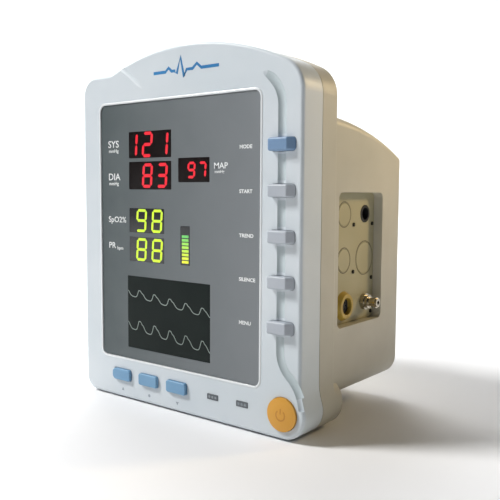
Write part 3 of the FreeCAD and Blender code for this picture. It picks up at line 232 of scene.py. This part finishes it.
MATERIALS = {
    "case_light": plastic("case_light", (216, 223, 228), (208, 217, 223), rough=(0.38, 0.52)),
    # The rear shell's warmer grey is partly its own colour and partly painted shade, darker than the bezel as
    # its shaded sides look.
    "case_warm_and_painted_shade": plastic("case_warm_and_painted_shade", (198, 194, 180), (188, 185, 171), rough=(0.42, 0.56)),
    "seal": plastic("seal", (38, 38, 38), (28, 28, 29), rough=(0.7, 0.85), depth=0.2),
    "panel_grey": panel_grey(),
    "readout": plastic("readout", (30, 20, 20), (22, 16, 18), rough=(0.2, 0.32), depth=0.03, coat=0.4),
    "circuit_board": circuit_green(),
    "dark_plastic": plastic("dark_plastic", (30, 31, 32), (22, 23, 24), rough=(0.38, 0.55)),
    "screen_glass": lcd_black(),
    "key_blue": plastic("key_blue", (120, 164, 198), (108, 152, 190), rough=(0.34, 0.46), depth=0.1),
    "side_key_blue": plastic("side_key_blue", (122, 152, 186), (112, 143, 180), rough=(0.36, 0.48)),
    "key_grey": plastic("key_grey", (184, 190, 198), (174, 181, 191), rough=(0.36, 0.48)),
    "button_orange": plastic("button_orange", (226, 168, 62), (216, 156, 52), rough=(0.28, 0.4), coat=0.15),
    "lamp_lens": plastic("lamp_lens", (100, 106, 112), (88, 94, 100), rough=(0.22, 0.32), depth=0.02,
                         coat=0.3),
    "panel_tan": plastic("panel_tan", (176, 168, 134), (164, 157, 124), rough=(0.48, 0.6), depth=0.16),
    "socket_yellow": plastic("socket_yellow", (190, 162, 72), (174, 146, 60), rough=(0.34, 0.48)),
    "plated_metal": metal("plated_metal", (196, 188, 170), (160, 152, 136)),
    "dark_screw": metal("dark_screw", (62, 60, 52), (44, 42, 38), rough=(0.4, 0.6)),
    "brass_part": metal("brass_part", (198, 166, 92), (170, 138, 70)),
    "sheet_metal": metal("sheet_metal", (186, 188, 190), (164, 166, 168), stretch=(0.1, 1.0, 1.0)),
    "core_iron": metal("core_iron", (70, 66, 60), (48, 46, 44), rough=(0.45, 0.65), stretch=(1, 1, 12)),
    "battery_wrap": plastic("battery_wrap", (34, 62, 112), (26, 50, 96), rough=(0.22, 0.34), coat=0.3),
    "hose_rubber": plastic("hose_rubber", (208, 206, 196), (196, 194, 184), rough=(0.5, 0.65)),
    "foot_rubber": plastic("foot_rubber", (46, 46, 47), (36, 36, 37), rough=(0.72, 0.88), depth=0.3),
    "print_white": plastic("print_white", (246, 248, 248), (238, 241, 241), rough=(0.5, 0.6), grain=1600.0),
    "print_blue": plastic("print_blue", (48, 132, 190), (40, 120, 178), rough=(0.4, 0.5), grain=1600.0),
    "print_grey": plastic("print_grey", (158, 168, 178), (148, 158, 168), rough=(0.5, 0.6), grain=1600.0),
    "print_dark": plastic("print_dark", (118, 112, 86), (106, 100, 78), rough=(0.5, 0.6), grain=1600.0),
    # The lip's near-white is a painted highlight along the bevel round the panel.
    "lip_painted_highlight": plastic("lip_painted_highlight", (238, 241, 243), (230, 235, 238), rough=(0.28, 0.38), coat=0.2),
    # The groove film's darker grey is painted shade in the groove's channel.
    "groove_painted_shade": plastic("groove_painted_shade", (194, 205, 209), (185, 197, 201), rough=(0.4, 0.5)),
    "window_red": plastic("window_red", (24, 14, 14), (18, 12, 12), rough=(0.16, 0.26), depth=0.02, coat=0.4),
    "window_green": plastic("window_green", (18, 20, 28), (14, 16, 22), rough=(0.16, 0.26), depth=0.02,
                            coat=0.4),
    "segment_off": plastic("segment_off", (18, 20, 28), (14, 16, 22), rough=(0.16, 0.26), depth=0.02,
                           coat=0.4),
    "segment_dim": plastic("segment_dim", (24, 14, 14), (18, 12, 12), rough=(0.16, 0.26), depth=0.02,
                           coat=0.4),
    "glow_red": glow("glow_red", (226, 28, 44), (206, 34, 50), 0.55),
    "glow_lime": glow("glow_lime", (206, 232, 44), (184, 220, 60), 0.5),
    "trace_grey": plastic("trace_grey", (150, 162, 156), (134, 147, 141), rough=(0.45, 0.55), grain=1600.0),
    "lamp_dot": plastic("lamp_dot", (138, 146, 152), (128, 136, 142), rough=(0.25, 0.35), coat=0.3),
    "plate_silver": metal("plate_silver", (196, 198, 200), (180, 182, 184), rough=(0.4, 0.5),
                          stretch=(1, 1, 14)),
}


def dress(node, name):
    mesh = nodes[node].data
    mesh.materials.clear()
    mesh.materials.append(MATERIALS[name])


# Nodes that look different from the rest of their material slot.
# The rear shell and battery door take a warmer grey that is partly their own colour and partly painted shade.
OWN_MATERIAL = {"rear_shell": "case_warm_and_painted_shade", "battery_door": "case_warm_and_painted_shade", "mode_key": "side_key_blue"}
for entry in frame["record"]["subparts"]:
    dress(entry["node"], OWN_MATERIAL.get(entry["node"], entry["material_slot"]))


# ---------------------------------------------------------------- mesh helpers

def add_piece(name, vertices, faces, material, body="case"):
    mesh = bpy.data.meshes.new(name)
    mesh.from_pydata(vertices, [], faces)
    mesh.validate()
    mesh.materials.append(MATERIALS[material])
    made = bpy.data.objects.new(name, mesh)
    bpy.context.scene.collection.objects.link(made)
    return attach(made, body)


def smooth(mesh):
    for polygon in mesh.polygons:
        polygon.use_smooth = True


class Builder:
    """Collects the vertices and faces of one piece."""

    def __init__(self):
        self.vertices, self.faces = [], []

    def prism(self, outline, front, back, chamfer=0.0):
        """A closed block with this outline (X, Z pairs, counter-clockwise as seen from the front)."""
        count, base = len(outline), len(self.vertices)
        centre = Vector((sum(p[0] for p in outline), sum(p[1] for p in outline))) / count
        rings = [(back, 0.0), (front, 0.0)]
        if chamfer:
            rings = [(back, 0.0), (front + chamfer, 0.0), (front, chamfer)]
        for depth, inset in rings:
            for x, z in outline:
                inward = centre - Vector((x, z))
                step = inward.normalized() * inset if inward.length > inset else inward
                self.vertices.append(place(x + step.x, depth, z + step.y))
        for ring in range(len(rings) - 1):
            a, b = base + ring * count, base + (ring + 1) * count
            for i in range(count):
                j = (i + 1) % count
                self.faces.append((a + i, a + j, b + j, b + i))
        self.faces.append(tuple(base + i for i in reversed(range(count))))
        top = base + (len(rings) - 1) * count
        self.faces.append(tuple(top + i for i in range(count)))

    def strip(self, sections, closed=False, ring=False):
        """A skin over a row of sections, each a list of points."""
        base, width = len(self.vertices), len(sections[0])
        for section in sections:
            self.vertices.extend(section)
        rows = len(sections) if closed else len(sections) - 1
        columns = width if ring else width - 1
        for r in range(rows):
            a, b = base + r * width, base + ((r + 1) % len(sections)) * width
            for c in range(columns):
                d = (c + 1) % width
                self.faces.append((a + c, a + d, b + d, b + c))

    def bar(self, sections):
        """A closed bar over sections of four points."""
        first = len(self.vertices)
        self.strip(sections, ring=True)
        last = first + 4 * (len(sections) - 1)
        self.faces += [(first + 3, first + 2, first + 1, first), (last, last + 1, last + 2, last + 3)]

    def piece(self, name, material, slot, body="case"):
        return add_piece(name, self.vertices, self.faces, material, body)


def round_corners(x, z, radius, steps=6):
    """A rectangle with round corners, counter-clockwise as seen from the front."""
    corners = [(x[1] - radius, z[0] + radius, -90), (x[1] - radius, z[1] - radius, 0),
               (x[0] + radius, z[1] - radius, 90), (x[0] + radius, z[0] + radius, 180)]
    outline = []
    for cx, cz, start in corners:
        for i in range(steps + 1):
            a = math.radians(start + 90 * i / steps)
            outline.append((cx + radius * math.cos(a), cz + radius * math.sin(a)))
    return outline


def ribbon(points, width):
    """Both edges of a line of the given width along X, Z points."""
    lefts, rights = [], []
    for i, (x, z) in enumerate(points):
        before, after = points[max(i - 1, 0)], points[min(i + 1, len(points) - 1)]
        along = Vector((after[0] - before[0], after[1] - before[1])).normalized()
        side = Vector((-along.y, along.x)) * width / 2
        lefts.append((x + side.x, z + side.y))
        rights.append((x - side.x, z - side.y))
    return lefts, rights


def add_line(builder, points, width, front, back):
    """A flat raised line of even width along X, Z points."""
    lefts, rights = ribbon(points, width)
    builder.bar([[place(a[0], back, a[1]), place(a[0], front, a[1]), place(b[0], front, b[1]),
                  place(b[0], back, b[1])] for a, b in zip(lefts, rights)])


def circle_points(x, z, radius, first=0.0, last=360.0, steps=40):
    """Points along an arc, from the first angle to the last."""
    angles = [math.radians(first + (last - first) * i / steps) for i in range(steps + 1)]
    return [(x + radius * math.cos(a), z + radius * math.sin(a)) for a in angles]


# ---------------------------------------------------------------- readouts

# Depths of the panel's face, of the filters in its windows, and of the segments that stand just proud of them.
PANEL_FACE = 0.5
WINDOW_FRONT, WINDOW_BACK = 0.60, 2.38
SEGMENT_FRONT, SEGMENT_BACK = 0.54, WINDOW_FRONT + 0.1
DARK_SEGMENT_FRONT = WINDOW_FRONT - 0.02
MODULE_RIM, FILTER_GAP, FILTER_CORNER = 1.0, 0.05, 0.5


def add_window(node, material):
    """The tinted filter that fills a window of the grey panel."""
    x, z = extent(node)
    inset = MODULE_RIM + FILTER_GAP
    builder = Builder()
    outline = round_corners((x[0] + inset, x[1] - inset), (z[0] + inset, z[1] - inset), FILTER_CORNER)
    builder.prism(outline, WINDOW_FRONT, WINDOW_BACK, chamfer=0.08)
    builder.piece(node + "_filter", material, "readout")


SEGMENTS_OF = {"0": "abcdef", "1": "bc", "2": "abged", "3": "abgcd", "4": "fgbc", "5": "afgcd",
               "6": "afgedc", "7": "abc", "8": "abcdefg", "9": "abcdfg", " ": ""}
SLANT = math.tan(math.radians(4.5))


def segment_outlines(left, low, width, height, stroke):
    """The seven segments of one digit: outlines by letter."""
    half, gap = stroke / 2, stroke * 0.09
    x0, x1 = left + half, left + width - half
    z0, z1, z2 = low + half, low + height / 2, low + height - half

    def flat(z):
        a, b = x0 + gap, x1 - gap
        return [(a, z), (a + half, z - half), (b - half, z - half), (b, z), (b - half, z + half),
                (a + half, z + half)]

    def upright(x, low_z, high_z):
        a, b = low_z + gap, high_z - gap
        return [(x, a), (x + half, a + half), (x + half, b - half), (x, b), (x - half, b - half),
                (x - half, a + half)]

    shapes = {"a": flat(z2), "g": flat(z1), "d": flat(z0), "f": upright(x0, z1, z2),
              "b": upright(x1, z1, z2), "e": upright(x0, z0, z1), "c": upright(x1, z0, z1)}
    lean = {}
    for letter, outline in shapes.items():
        lean[letter] = [(x + (z - low - height / 2) * SLANT, z) for x, z in outline]
    return lean


def add_digits(name, text, right, pitch, width, low, height, stroke, glow_name, off_name):
    """Right-aligned seven-segment digits: one piece for lit segments and one for those that are dark."""
    lit, dark = Builder(), Builder()
    for place_from_right, character in enumerate(reversed(text)):
        left = right - width - pitch * place_from_right
        for letter, outline in segment_outlines(left, low, width, height, stroke).items():
            on = letter in SEGMENTS_OF[character]
            target, front = (lit, SEGMENT_FRONT) if on else (dark, DARK_SEGMENT_FRONT)
            target.prism(outline, front, SEGMENT_BACK)
    lit.piece(name + "_lit", glow_name, "readout")
    if dark.faces:
        dark.piece(name + "_dark", off_name, "readout")


for node_name in ("sys_display", "dia_display", "map_display"):
    add_window(node_name, "window_red")
for node_name in ("spo2_display", "pulse_display", "pulse_bargraph"):
    add_window(node_name, "window_green")

# Each line gives the right edge, the pitch, the width, the low edge, the height and the stroke of its digits.
RED, RED_OFF, LIME, LIME_OFF = "glow_red", "segment_dim", "glow_lime", "segment_off"
add_digits("sys_digits", "121", -13.4, 15.9, 10.8, 186.5, 18.6, 2.3, RED, RED_OFF)
add_digits("dia_digits", " 83", -14.2, 15.2, 10.8, 164.0, 18.0, 2.3, RED, RED_OFF)
add_digits("map_digits", " 97", 23.2, 10.2, 7.6, 170.7, 11.6, 1.8, RED, RED_OFF)
add_digits("spo2_digits", "98", -19.6, 16.4, 11.0, 131.0, 17.2, 2.0, LIME, LIME_OFF)
add_digits("pulse_digits", "88", -19.6, 16.4, 11.0, 109.3, 17.2, 2.0, LIME, LIME_OFF)


def add_bargraph():
    """Ten stacked bars: two dark at the top, the rest from green down to yellow-green."""
    x, z = extent("pulse_bargraph")
    side_margin, end_margin, bars, gap = 2.4, 2.0, 10, 0.14
    left, right, low, high = x[0] + side_margin, x[1] - side_margin, z[0] + end_margin, z[1] - end_margin
    pitch = (high - low) / bars
    shades = [(226, 232, 60), (216, 230, 66), (204, 228, 70), (188, 224, 76), (170, 220, 84), (150, 212, 90),
              (128, 204, 98), (104, 190, 100)]
    dark = Builder()
    for i in range(bars):
        base = low + pitch * i
        outline = round_corners((left, right), (base + pitch * gap, base + pitch * (1 - gap)), 0.2, steps=2)
        if i < len(shades):
            shade = shades[i]
            name = f"glow_bar_{i + 1}"
            MATERIALS[name] = glow(name, shade, tuple(int(c * 0.92) for c in shade), 0.45)
            lit = Builder()
            lit.prism(outline, SEGMENT_FRONT, SEGMENT_BACK)
            lit.piece(f"bar_lit_{i + 1}", name, "readout")
        else:
            dark.prism(outline, DARK_SEGMENT_FRONT, SEGMENT_BACK)
    dark.piece("bar_dark", LIME_OFF, "readout")


add_bargraph()


def pulse_height(phase):
    """One beat of a blood-flow curve: a steep rise, a rounded shoulder and a slow fall. 0 to 1."""
    peak = math.exp(-((phase - 0.30) / 0.13) ** 2)
    shoulder = 0.62 * math.exp(-((phase - 0.52) / 0.17) ** 2)
    return min(1.0, peak + shoulder)


def add_lcd():
    """The waveform screen, with two blood-flow curves that drift downwards to the right."""
    (left, right), (low, high) = extent("lcd_glass")
    left, right, low, high = left + 0.6, right - 0.6, low + 0.6, high - 0.6
    screen = Builder()
    screen.prism(round_corners((left, right), (low, high), 0.4), WINDOW_FRONT, WINDOW_BACK, chamfer=0.08)
    screen.piece("lcd_screen", "screen_glass", "screen_glass")
    period, first_peak, peak_phase, drift, stroke = 15.9, 12.4, 0.30, 8.5, 0.6
    for name, base, rise in (("trace_upper", 40.3, 5.6), ("trace_lower", 15.0, 7.4)):
        points, steps = [], 240
        for i in range(steps + 1):
            x = (right - left) * i / steps
            phase = ((x - first_peak) / period + peak_phase) % 1.0
            wrapped = max(pulse_height(phase), pulse_height(phase + 1.0), pulse_height(phase - 1.0))
            points.append((left + x, low + base + rise * wrapped - drift * i / steps))
        trace = Builder()
        add_line(trace, points, stroke, WINDOW_FRONT - 0.05, SEGMENT_BACK)
        trace.piece(name, "trace_grey", "screen_glass")


add_lcd()


# ---------------------------------------------------------------- printed words and marks

WORD_STRETCH, WORD_RAISE = 1.1, 0.03


def print_words(name, text, x, z, size, material, weight=0.05):
    """Words printed on the grey panel, with their baseline at z."""
    curve = bpy.data.curves.new(name, "FONT")
    curve.body, curve.size = text, size * MM
    curve.extrude, curve.offset = WORD_RAISE * MM, weight * MM
    curve.resolution_u = 3
    source = bpy.data.objects.new(name + "_curve", curve)
    bpy.context.scene.collection.objects.link(source)
    turn = Matrix.Rotation(math.radians(90), 4, "X") @ Matrix.Diagonal((WORD_STRETCH, 1, 1, 1))
    graph = bpy.context.evaluated_depsgraph_get()
    mesh = bpy.data.meshes.new_from_object(source.evaluated_get(graph))
    mesh.transform(Matrix.Translation(place(x, PANEL_FACE, z)) @ turn)
    mesh.materials.clear()
    mesh.materials.append(MATERIALS[material])
    bpy.data.objects.remove(source)
    made = bpy.data.objects.new(name, mesh)
    bpy.context.scene.collection.objects.link(made)
    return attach(made, "case")


for word, unit, x, z, size in (("SYS", "mmHg", -77.9, 194.6, 7.4), ("DIA", "mmHg", -77.9, 169.8, 7.4),
                               ("SpO2%", "", -78.2, 137.6, 6.2), ("PR", "", -78.2, 117.4, 6.6),
                               ("MAP", "mmHg", 30.0, 177.2, 5.8)):
    tag = word.strip("%").lower()
    print_words("word_" + tag, word, x, z, size, "print_white")
    if unit:
        print_words("unit_" + tag, unit, x + 0.8, z - size * 0.52, size * 0.5, "print_white")
print_words("unit_pr", "bpm", -68.6, 116.6, 3.6, "print_white")

KEYS = ("mode_key", "start_key", "trend_key", "silence_key", "menu_key")
for key, word in zip(KEYS, ("MODE", "START", "TREND", "SILENCE", "MENU")):
    _, (low, high) = extent(key)
    print_words("word_" + key, word, 52.4, (low + high) / 2 - 1.6, 3.4, "print_white", weight=0.1)


def add_marks():
    """Small plain symbols: up, select and down under the blue keys, and a pulse line on the crown."""
    front, back = -0.03, 0.1
    symbols = Builder()
    for key, kind in (("up_key", "up"), ("select_key", "dot"), ("down_key", "down")):
        (left, right), _ = extent(key)
        x, z, r = (left + right) / 2, 7.4, 1.7
        if kind == "dot":
            symbols.prism(circle_points(x, z, 1.2, steps=20)[:-1], front, back)
        else:
            turn = 90 if kind == "up" else 270
            corners = [(x + r * math.cos(math.radians(turn + a)), z + r * math.sin(math.radians(turn + a)))
                       for a in (0, 120, 240)]
            symbols.prism(corners, front, back)
    symbols.piece("key_symbols", "print_grey", "case_light")
    beat = [(0, 0), (12, 0), (15, 2.6), (18, 0), (21, 0), (23, -2.2), (26.5, 9.5), (30, -5.0), (32.5, 0),
            (38, 0), (42, 3.2), (46, 0), (62, 0)]
    line = Builder()
    add_line(line, [(-27 + x, 246.0 + z) for x, z in beat], 2.2, -0.05, back)
    line.piece("crown_pulse_line", "print_blue", "case_light")


add_marks()


# ---------------------------------------------------------------- bezel details

def add_lip():
    """The rounded lip round the grey panel, coloured whiter than the case as a painted highlight. Its section
    is a row of (outward, depth) points.
    """
    (left, right), (low, high) = extent("display_panel")
    clear, steps = 0.3, 10
    x, z, radius = (left - clear, right + clear), (low - clear, high + clear), 5.0
    profile = [(-0.04, 0.95), (-0.04, -0.1), (0.2, -0.34), (0.65, -0.44), (1.15, -0.36), (1.6, -0.12),
               (1.8, 0.15), (0.8, 0.8)]
    inner = round_corners(x, z, radius, steps)
    centres = [(x[1] - radius, z[0] + radius), (x[1] - radius, z[1] - radius), (x[0] + radius, z[1] - radius),
               (x[0] + radius, z[0] + radius)]
    sections = []
    for i, (px, pz) in enumerate(inner):
        centre = centres[i // (steps + 1)]
        outward = Vector((px - centre[0], pz - centre[1])).normalized()
        sections.append([place(px + outward.x * reach, depth, pz + outward.y * reach)
                         for reach, depth in profile])
    lip = Builder()
    lip.strip(sections, closed=True, ring=True)
    smooth(lip.piece("panel_lip", "lip_painted_highlight", "case_light").data)


# The sizes of the CAD's groove: its middle line, its round cutter's radius and how far the cutter's centre
# stands out of the face. UPPER, LOWER and EXIT are the radii of its bends, and the angles are in degrees. The
# groove fades out of the face between TURN and FADE. FILM_START and END are where the film begins and ends.
GROOVE_X, GROOVE_TOP, GROOVE_LOW, GROOVE_ROUND, GROOVE_RISE = 87.2, 216.0, 59.0, 4.2, 2.7
UPPER, LOWER, EXIT = 23.2, 20.0, 30.0
TURN, FADE, SWING, END = 36, 78, 230, 20
FILM_START, FADE_LIFT, FILM_GAP = 0.36, 2.4, 0.05


def groove_line():
    """Points (x, z, lift) down the middle of the groove. Lift is how far the cutter rises out of the face."""
    points = []
    for i in range(16):
        s = FILM_START + (1 - FILM_START) * i / 15
        a = math.radians(FADE + (TURN - FADE) * s)
        points.append((GROOVE_X - UPPER + UPPER * math.cos(a), GROOVE_TOP + UPPER * math.sin(a),
                       FADE_LIFT * (1 - s) ** 2))
    for i in range(1, 11):
        a = math.radians(TURN * (1 - i / 10))
        points.append((GROOVE_X - UPPER + UPPER * math.cos(a), GROOVE_TOP + UPPER * math.sin(a), 0.0))
    for i in range(1, 150):
        points.append((GROOVE_X, GROOVE_TOP + (GROOVE_LOW - GROOVE_TOP) * i / 150, 0.0))
    for i in range(13):
        a = math.radians(180 + (SWING - 180) * i / 12)
        points.append((GROOVE_X + LOWER + LOWER * math.cos(a), GROOVE_LOW + LOWER * math.sin(a), 0.0))
    turn_x, turn_z, heading = points[-1][0], points[-1][1], SWING - 180
    cx = turn_x - EXIT * math.cos(math.radians(heading))
    cz = turn_z - EXIT * math.sin(math.radians(heading))
    for i in range(1, 13):
        a = math.radians(heading + (END - heading) * i / 12)
        points.append((cx + EXIT * math.cos(a), cz + EXIT * math.sin(a), 0.0))
    return points


def add_groove_painted_shade():
    """A thin film, darker than the case as painted shade in the groove, split where the keys pass through."""
    key_spans, key_gap = [extent(key)[1] for key in KEYS], 0.6
    edge_depth, steps = 0.02, 12
    line, film_radius = groove_line(), GROOVE_ROUND - FILM_GAP
    runs, run = [], []
    for i, (x, z, lift) in enumerate(line):
        under_key = any(low - key_gap < z < high + key_gap for low, high in key_spans) and x > GROOVE_X - 1
        if under_key:
            runs.append(run)
            run = []
            continue
        before, after = line[max(i - 1, 0)], line[min(i + 1, len(line) - 1)]
        along = Vector((after[0] - before[0], after[1] - before[1])).normalized()
        side = Vector((-along.y, along.x))
        axis_depth = -GROOVE_RISE - lift
        reach = math.acos(min(1.0, (edge_depth - axis_depth) / film_radius))
        section = []
        for k in range(steps + 1):
            a = reach * (1 - 2 * k / steps)
            off = film_radius * math.sin(a)
            section.append(place(x + side.x * off, axis_depth + film_radius * math.cos(a), z + side.y * off))
        run.append(section)
    runs.append(run)
    film = Builder()
    for run in runs:
        if len(run) > 1:
            film.strip(run)
    smooth(film.piece("groove_shade_film", "groove_painted_shade", "case_light").data)


add_lip()
add_groove_painted_shade()


def add_lamps():
    """Three small light points on each indicator window."""
    half_width, margin, front, back = 0.9, 1.1, -0.42, -0.2
    for node_name in ("mains_indicator", "battery_indicator"):
        (left, right), (low, high) = extent(node_name)
        dots = Builder()
        for share in (0.22, 0.5, 0.78):
            x = left + (right - left) * share
            outline = round_corners((x - half_width, x + half_width), (low + margin, high - margin), 0.3, 3)
            dots.prism(outline, front, back, chamfer=0.06)
        dots.piece(node_name + "_dots", "lamp_dot", "lamp_lens")


def add_power_symbol():
    """A plain standby symbol standing a little proud of the button's dome."""
    low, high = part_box("power_button")
    x, z = (low.x + high.x) / 2 / MM, (low.z + high.z) / 2 / MM
    dome, crest = 60.0, (low.y - FACE_Y) / MM
    stroke, sunk, proud = 0.9, -0.15, 0.06

    def on_dome(px, pz, lift):
        away = math.hypot(px - x, pz - z)
        return place(px, crest + dome - math.sqrt(dome ** 2 - away ** 2) - lift, pz)

    symbol = Builder()
    arc, stem = circle_points(x, z - 0.3, 3.4, 130, 410, 36), [(x, z + 0.6 + 0.35 * i) for i in range(11)]
    for points in (arc, stem):
        lefts, rights = ribbon(points, stroke)
        symbol.bar([[on_dome(*a, sunk), on_dome(*a, proud), on_dome(*b, proud), on_dome(*b, sunk)]
                    for a, b in zip(lefts, rights)])
    MATERIALS["symbol_orange"] = plastic("symbol_orange", (204, 140, 48), (196, 132, 42), rough=(0.35, 0.45))
    symbol.piece("power_symbol", "symbol_orange", "button_orange", "power_button_body")


add_lamps()
add_power_symbol()


# ---------------------------------------------------------------- connector recess and back

def add_plug_outlines():
    """Dark printed rings round the blank plugs."""
    plate_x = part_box("side_panel")[1].x
    edge, width, sunk, proud = 0.5 * MM, 0.75 * MM, -0.1 * MM, 0.06 * MM
    for node_name in ("blank_plug_upper", "blank_plug_middle", "blank_plug_large"):
        low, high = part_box(node_name)
        y, z = (low.y + high.y) / 2, (low.z + high.z) / 2
        inner = (high.y - low.y) / 2 - edge
        outer = inner + width
        profile = ((inner, sunk), (inner, proud), (outer, proud), (outer, sunk))
        sections = []
        for i in range(64):
            a = math.tau * i / 64
            across, up = math.cos(a), math.sin(a)
            sections.append([Vector((plate_x + lift, y + radius * across, z + radius * up))
                             for radius, lift in profile])
        ring = Builder()
        ring.strip(sections, closed=True, ring=True)
        ring.piece(node_name + "_outline", "print_dark", "panel_tan")


def add_rating_plate():
    """A blank brushed label on the back."""
    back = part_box("rear_shell")[1].y
    across, height, corner, sunk, proud = (-2.0, 62.0), (92.0, 118.0), 3.0, -0.1, 0.25
    outline = round_corners(across, height, corner)
    vertices = [Vector((x * MM, back + lift * MM, z * MM)) for lift in (sunk, proud) for x, z in outline]
    count = len(outline)
    faces = [(i, i + count, (i + 1) % count + count, (i + 1) % count) for i in range(count)]
    faces += [tuple(range(count)), tuple(reversed(range(count, 2 * count)))]
    add_piece("rating_plate", vertices, faces, "plate_silver")


add_plug_outlines()
add_rating_plate()


# ---------------------------------------------------------------- floor, light, camera

# The camera's turn, tilt and roll in degrees, its lens in millimetres and its place in metres.
CAMERA_AZIMUTH, CAMERA_TILT, CAMERA_ROLL, CAMERA_LENS = 37.957, 4.825, 0.324, 50.41
CAMERA_PLACE = Vector((0.34461, -0.43243, 0.16218))
LIGHT_STRENGTH, SEEN_STRENGTH = 0.07, 1.05


def add_stage():
    """A pale floor that curves up into a backdrop, facing the camera. Sizes are in metres."""
    made = Shader("floor_paper", specular=0.2)
    made.colour(made.mix(made.span(made.noise(3.0), 0.3, 0.7), linear(250, 250, 250), linear(246, 246, 247)))
    made.rough(0.8, 0.9)
    half, near, turn_y, radius, top = 4.0, -3.0, 1.6, 1.2, 4.5
    line = [(near, 0.0), (turn_y, 0.0)]
    line += [(turn_y + radius * math.sin(math.radians(a)), radius - radius * math.cos(math.radians(a)))
             for a in range(5, 91, 5)]
    line.append((turn_y + radius, top))
    turn = Matrix.Rotation(math.radians(CAMERA_AZIMUTH), 4, "Z")
    vertices = [turn @ Vector((x, y, z)) for y, z in line for x in (-half, half)]
    faces = [(2 * i, 2 * i + 1, 2 * i + 3, 2 * i + 2) for i in range(len(line) - 1)]
    mesh = bpy.data.meshes.new("floor")
    mesh.from_pydata(vertices, [], faces)
    mesh.materials.append(made.material)
    smooth(mesh)
    floor = bpy.data.objects.new("floor", mesh)
    bpy.context.scene.collection.objects.link(floor)
    floor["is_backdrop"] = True


def add_lamp(name, location, target, size, power, colour, spread=180):
    """A round area light, with places and size in metres and spread in degrees."""
    data = bpy.data.lights.new(name, "AREA")
    data.shape, data.size, data.energy, data.color = "DISK", size, power, colour
    data.spread = math.radians(spread)
    lamp = bpy.data.objects.new(name, data)
    lamp.location = location
    lamp.rotation_euler = (Vector(target) - Vector(location)).to_track_quat("-Z", "Y").to_euler()
    bpy.context.scene.collection.objects.link(lamp)


def add_world():
    """Faint ambient light, under a sky that the camera sees as pale as the floor."""
    world = bpy.data.worlds.new("studio")
    world.use_nodes = True
    tree = world.node_tree
    sky = tree.nodes["Background"]
    sky.inputs["Color"].default_value = (0.94, 0.97, 1.0, 1.0)
    seen = tree.nodes.new("ShaderNodeLightPath").outputs["Is Camera Ray"]
    strength = tree.nodes.new("ShaderNodeMapRange")
    strength.inputs["To Min"].default_value = LIGHT_STRENGTH
    strength.inputs["To Max"].default_value = SEEN_STRENGTH
    tree.links.new(seen, strength.inputs["Value"])
    tree.links.new(strength.outputs["Result"], sky.inputs["Strength"])
    bpy.context.scene.world = world


def add_camera():
    """The camera at the photograph's viewing angle."""
    azimuth, tilt, roll = (math.radians(v) for v in (CAMERA_AZIMUTH, CAMERA_TILT, CAMERA_ROLL))
    ahead = Vector((-math.sin(azimuth) * math.cos(tilt), math.cos(azimuth) * math.cos(tilt), -math.sin(tilt)))
    level = Vector((math.cos(azimuth), math.sin(azimuth), 0.0))
    upright = level.cross(ahead)
    right = level * math.cos(roll) + upright * math.sin(roll)
    up = upright * math.cos(roll) - level * math.sin(roll)
    data = bpy.data.cameras.new("camera")
    data.sensor_width, data.lens = 36.0, CAMERA_LENS
    data.clip_start, data.clip_end = 0.02, 30.0
    camera = bpy.data.objects.new("camera", data)
    camera.matrix_world = Matrix.Translation(CAMERA_PLACE) @ Matrix((right, up, -ahead)).transposed().to_4x4()
    bpy.context.scene.collection.objects.link(camera)
    bpy.context.scene.camera = camera


add_stage()
add_lamp("key_light", (-1.9, -1.45, 2.45), (0.0, 0.0, 0.12), 0.9, 110.0, (1.0, 0.995, 0.985))
add_lamp("backdrop_light", (-1.2, 0.9, 2.6), (-1.75, 2.3, 0.7), 1.6, 70.0, (1.0, 1.0, 1.0))
add_lamp("warm_light", (0.46, 0.50, 0.46), (0.10, 0.06, 0.20), 0.16, 0.12, (1.0, 0.76, 0.42), spread=32)
add_world()
bpy.context.scene.view_settings.view_transform = "Standard"
add_camera()

low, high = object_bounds()
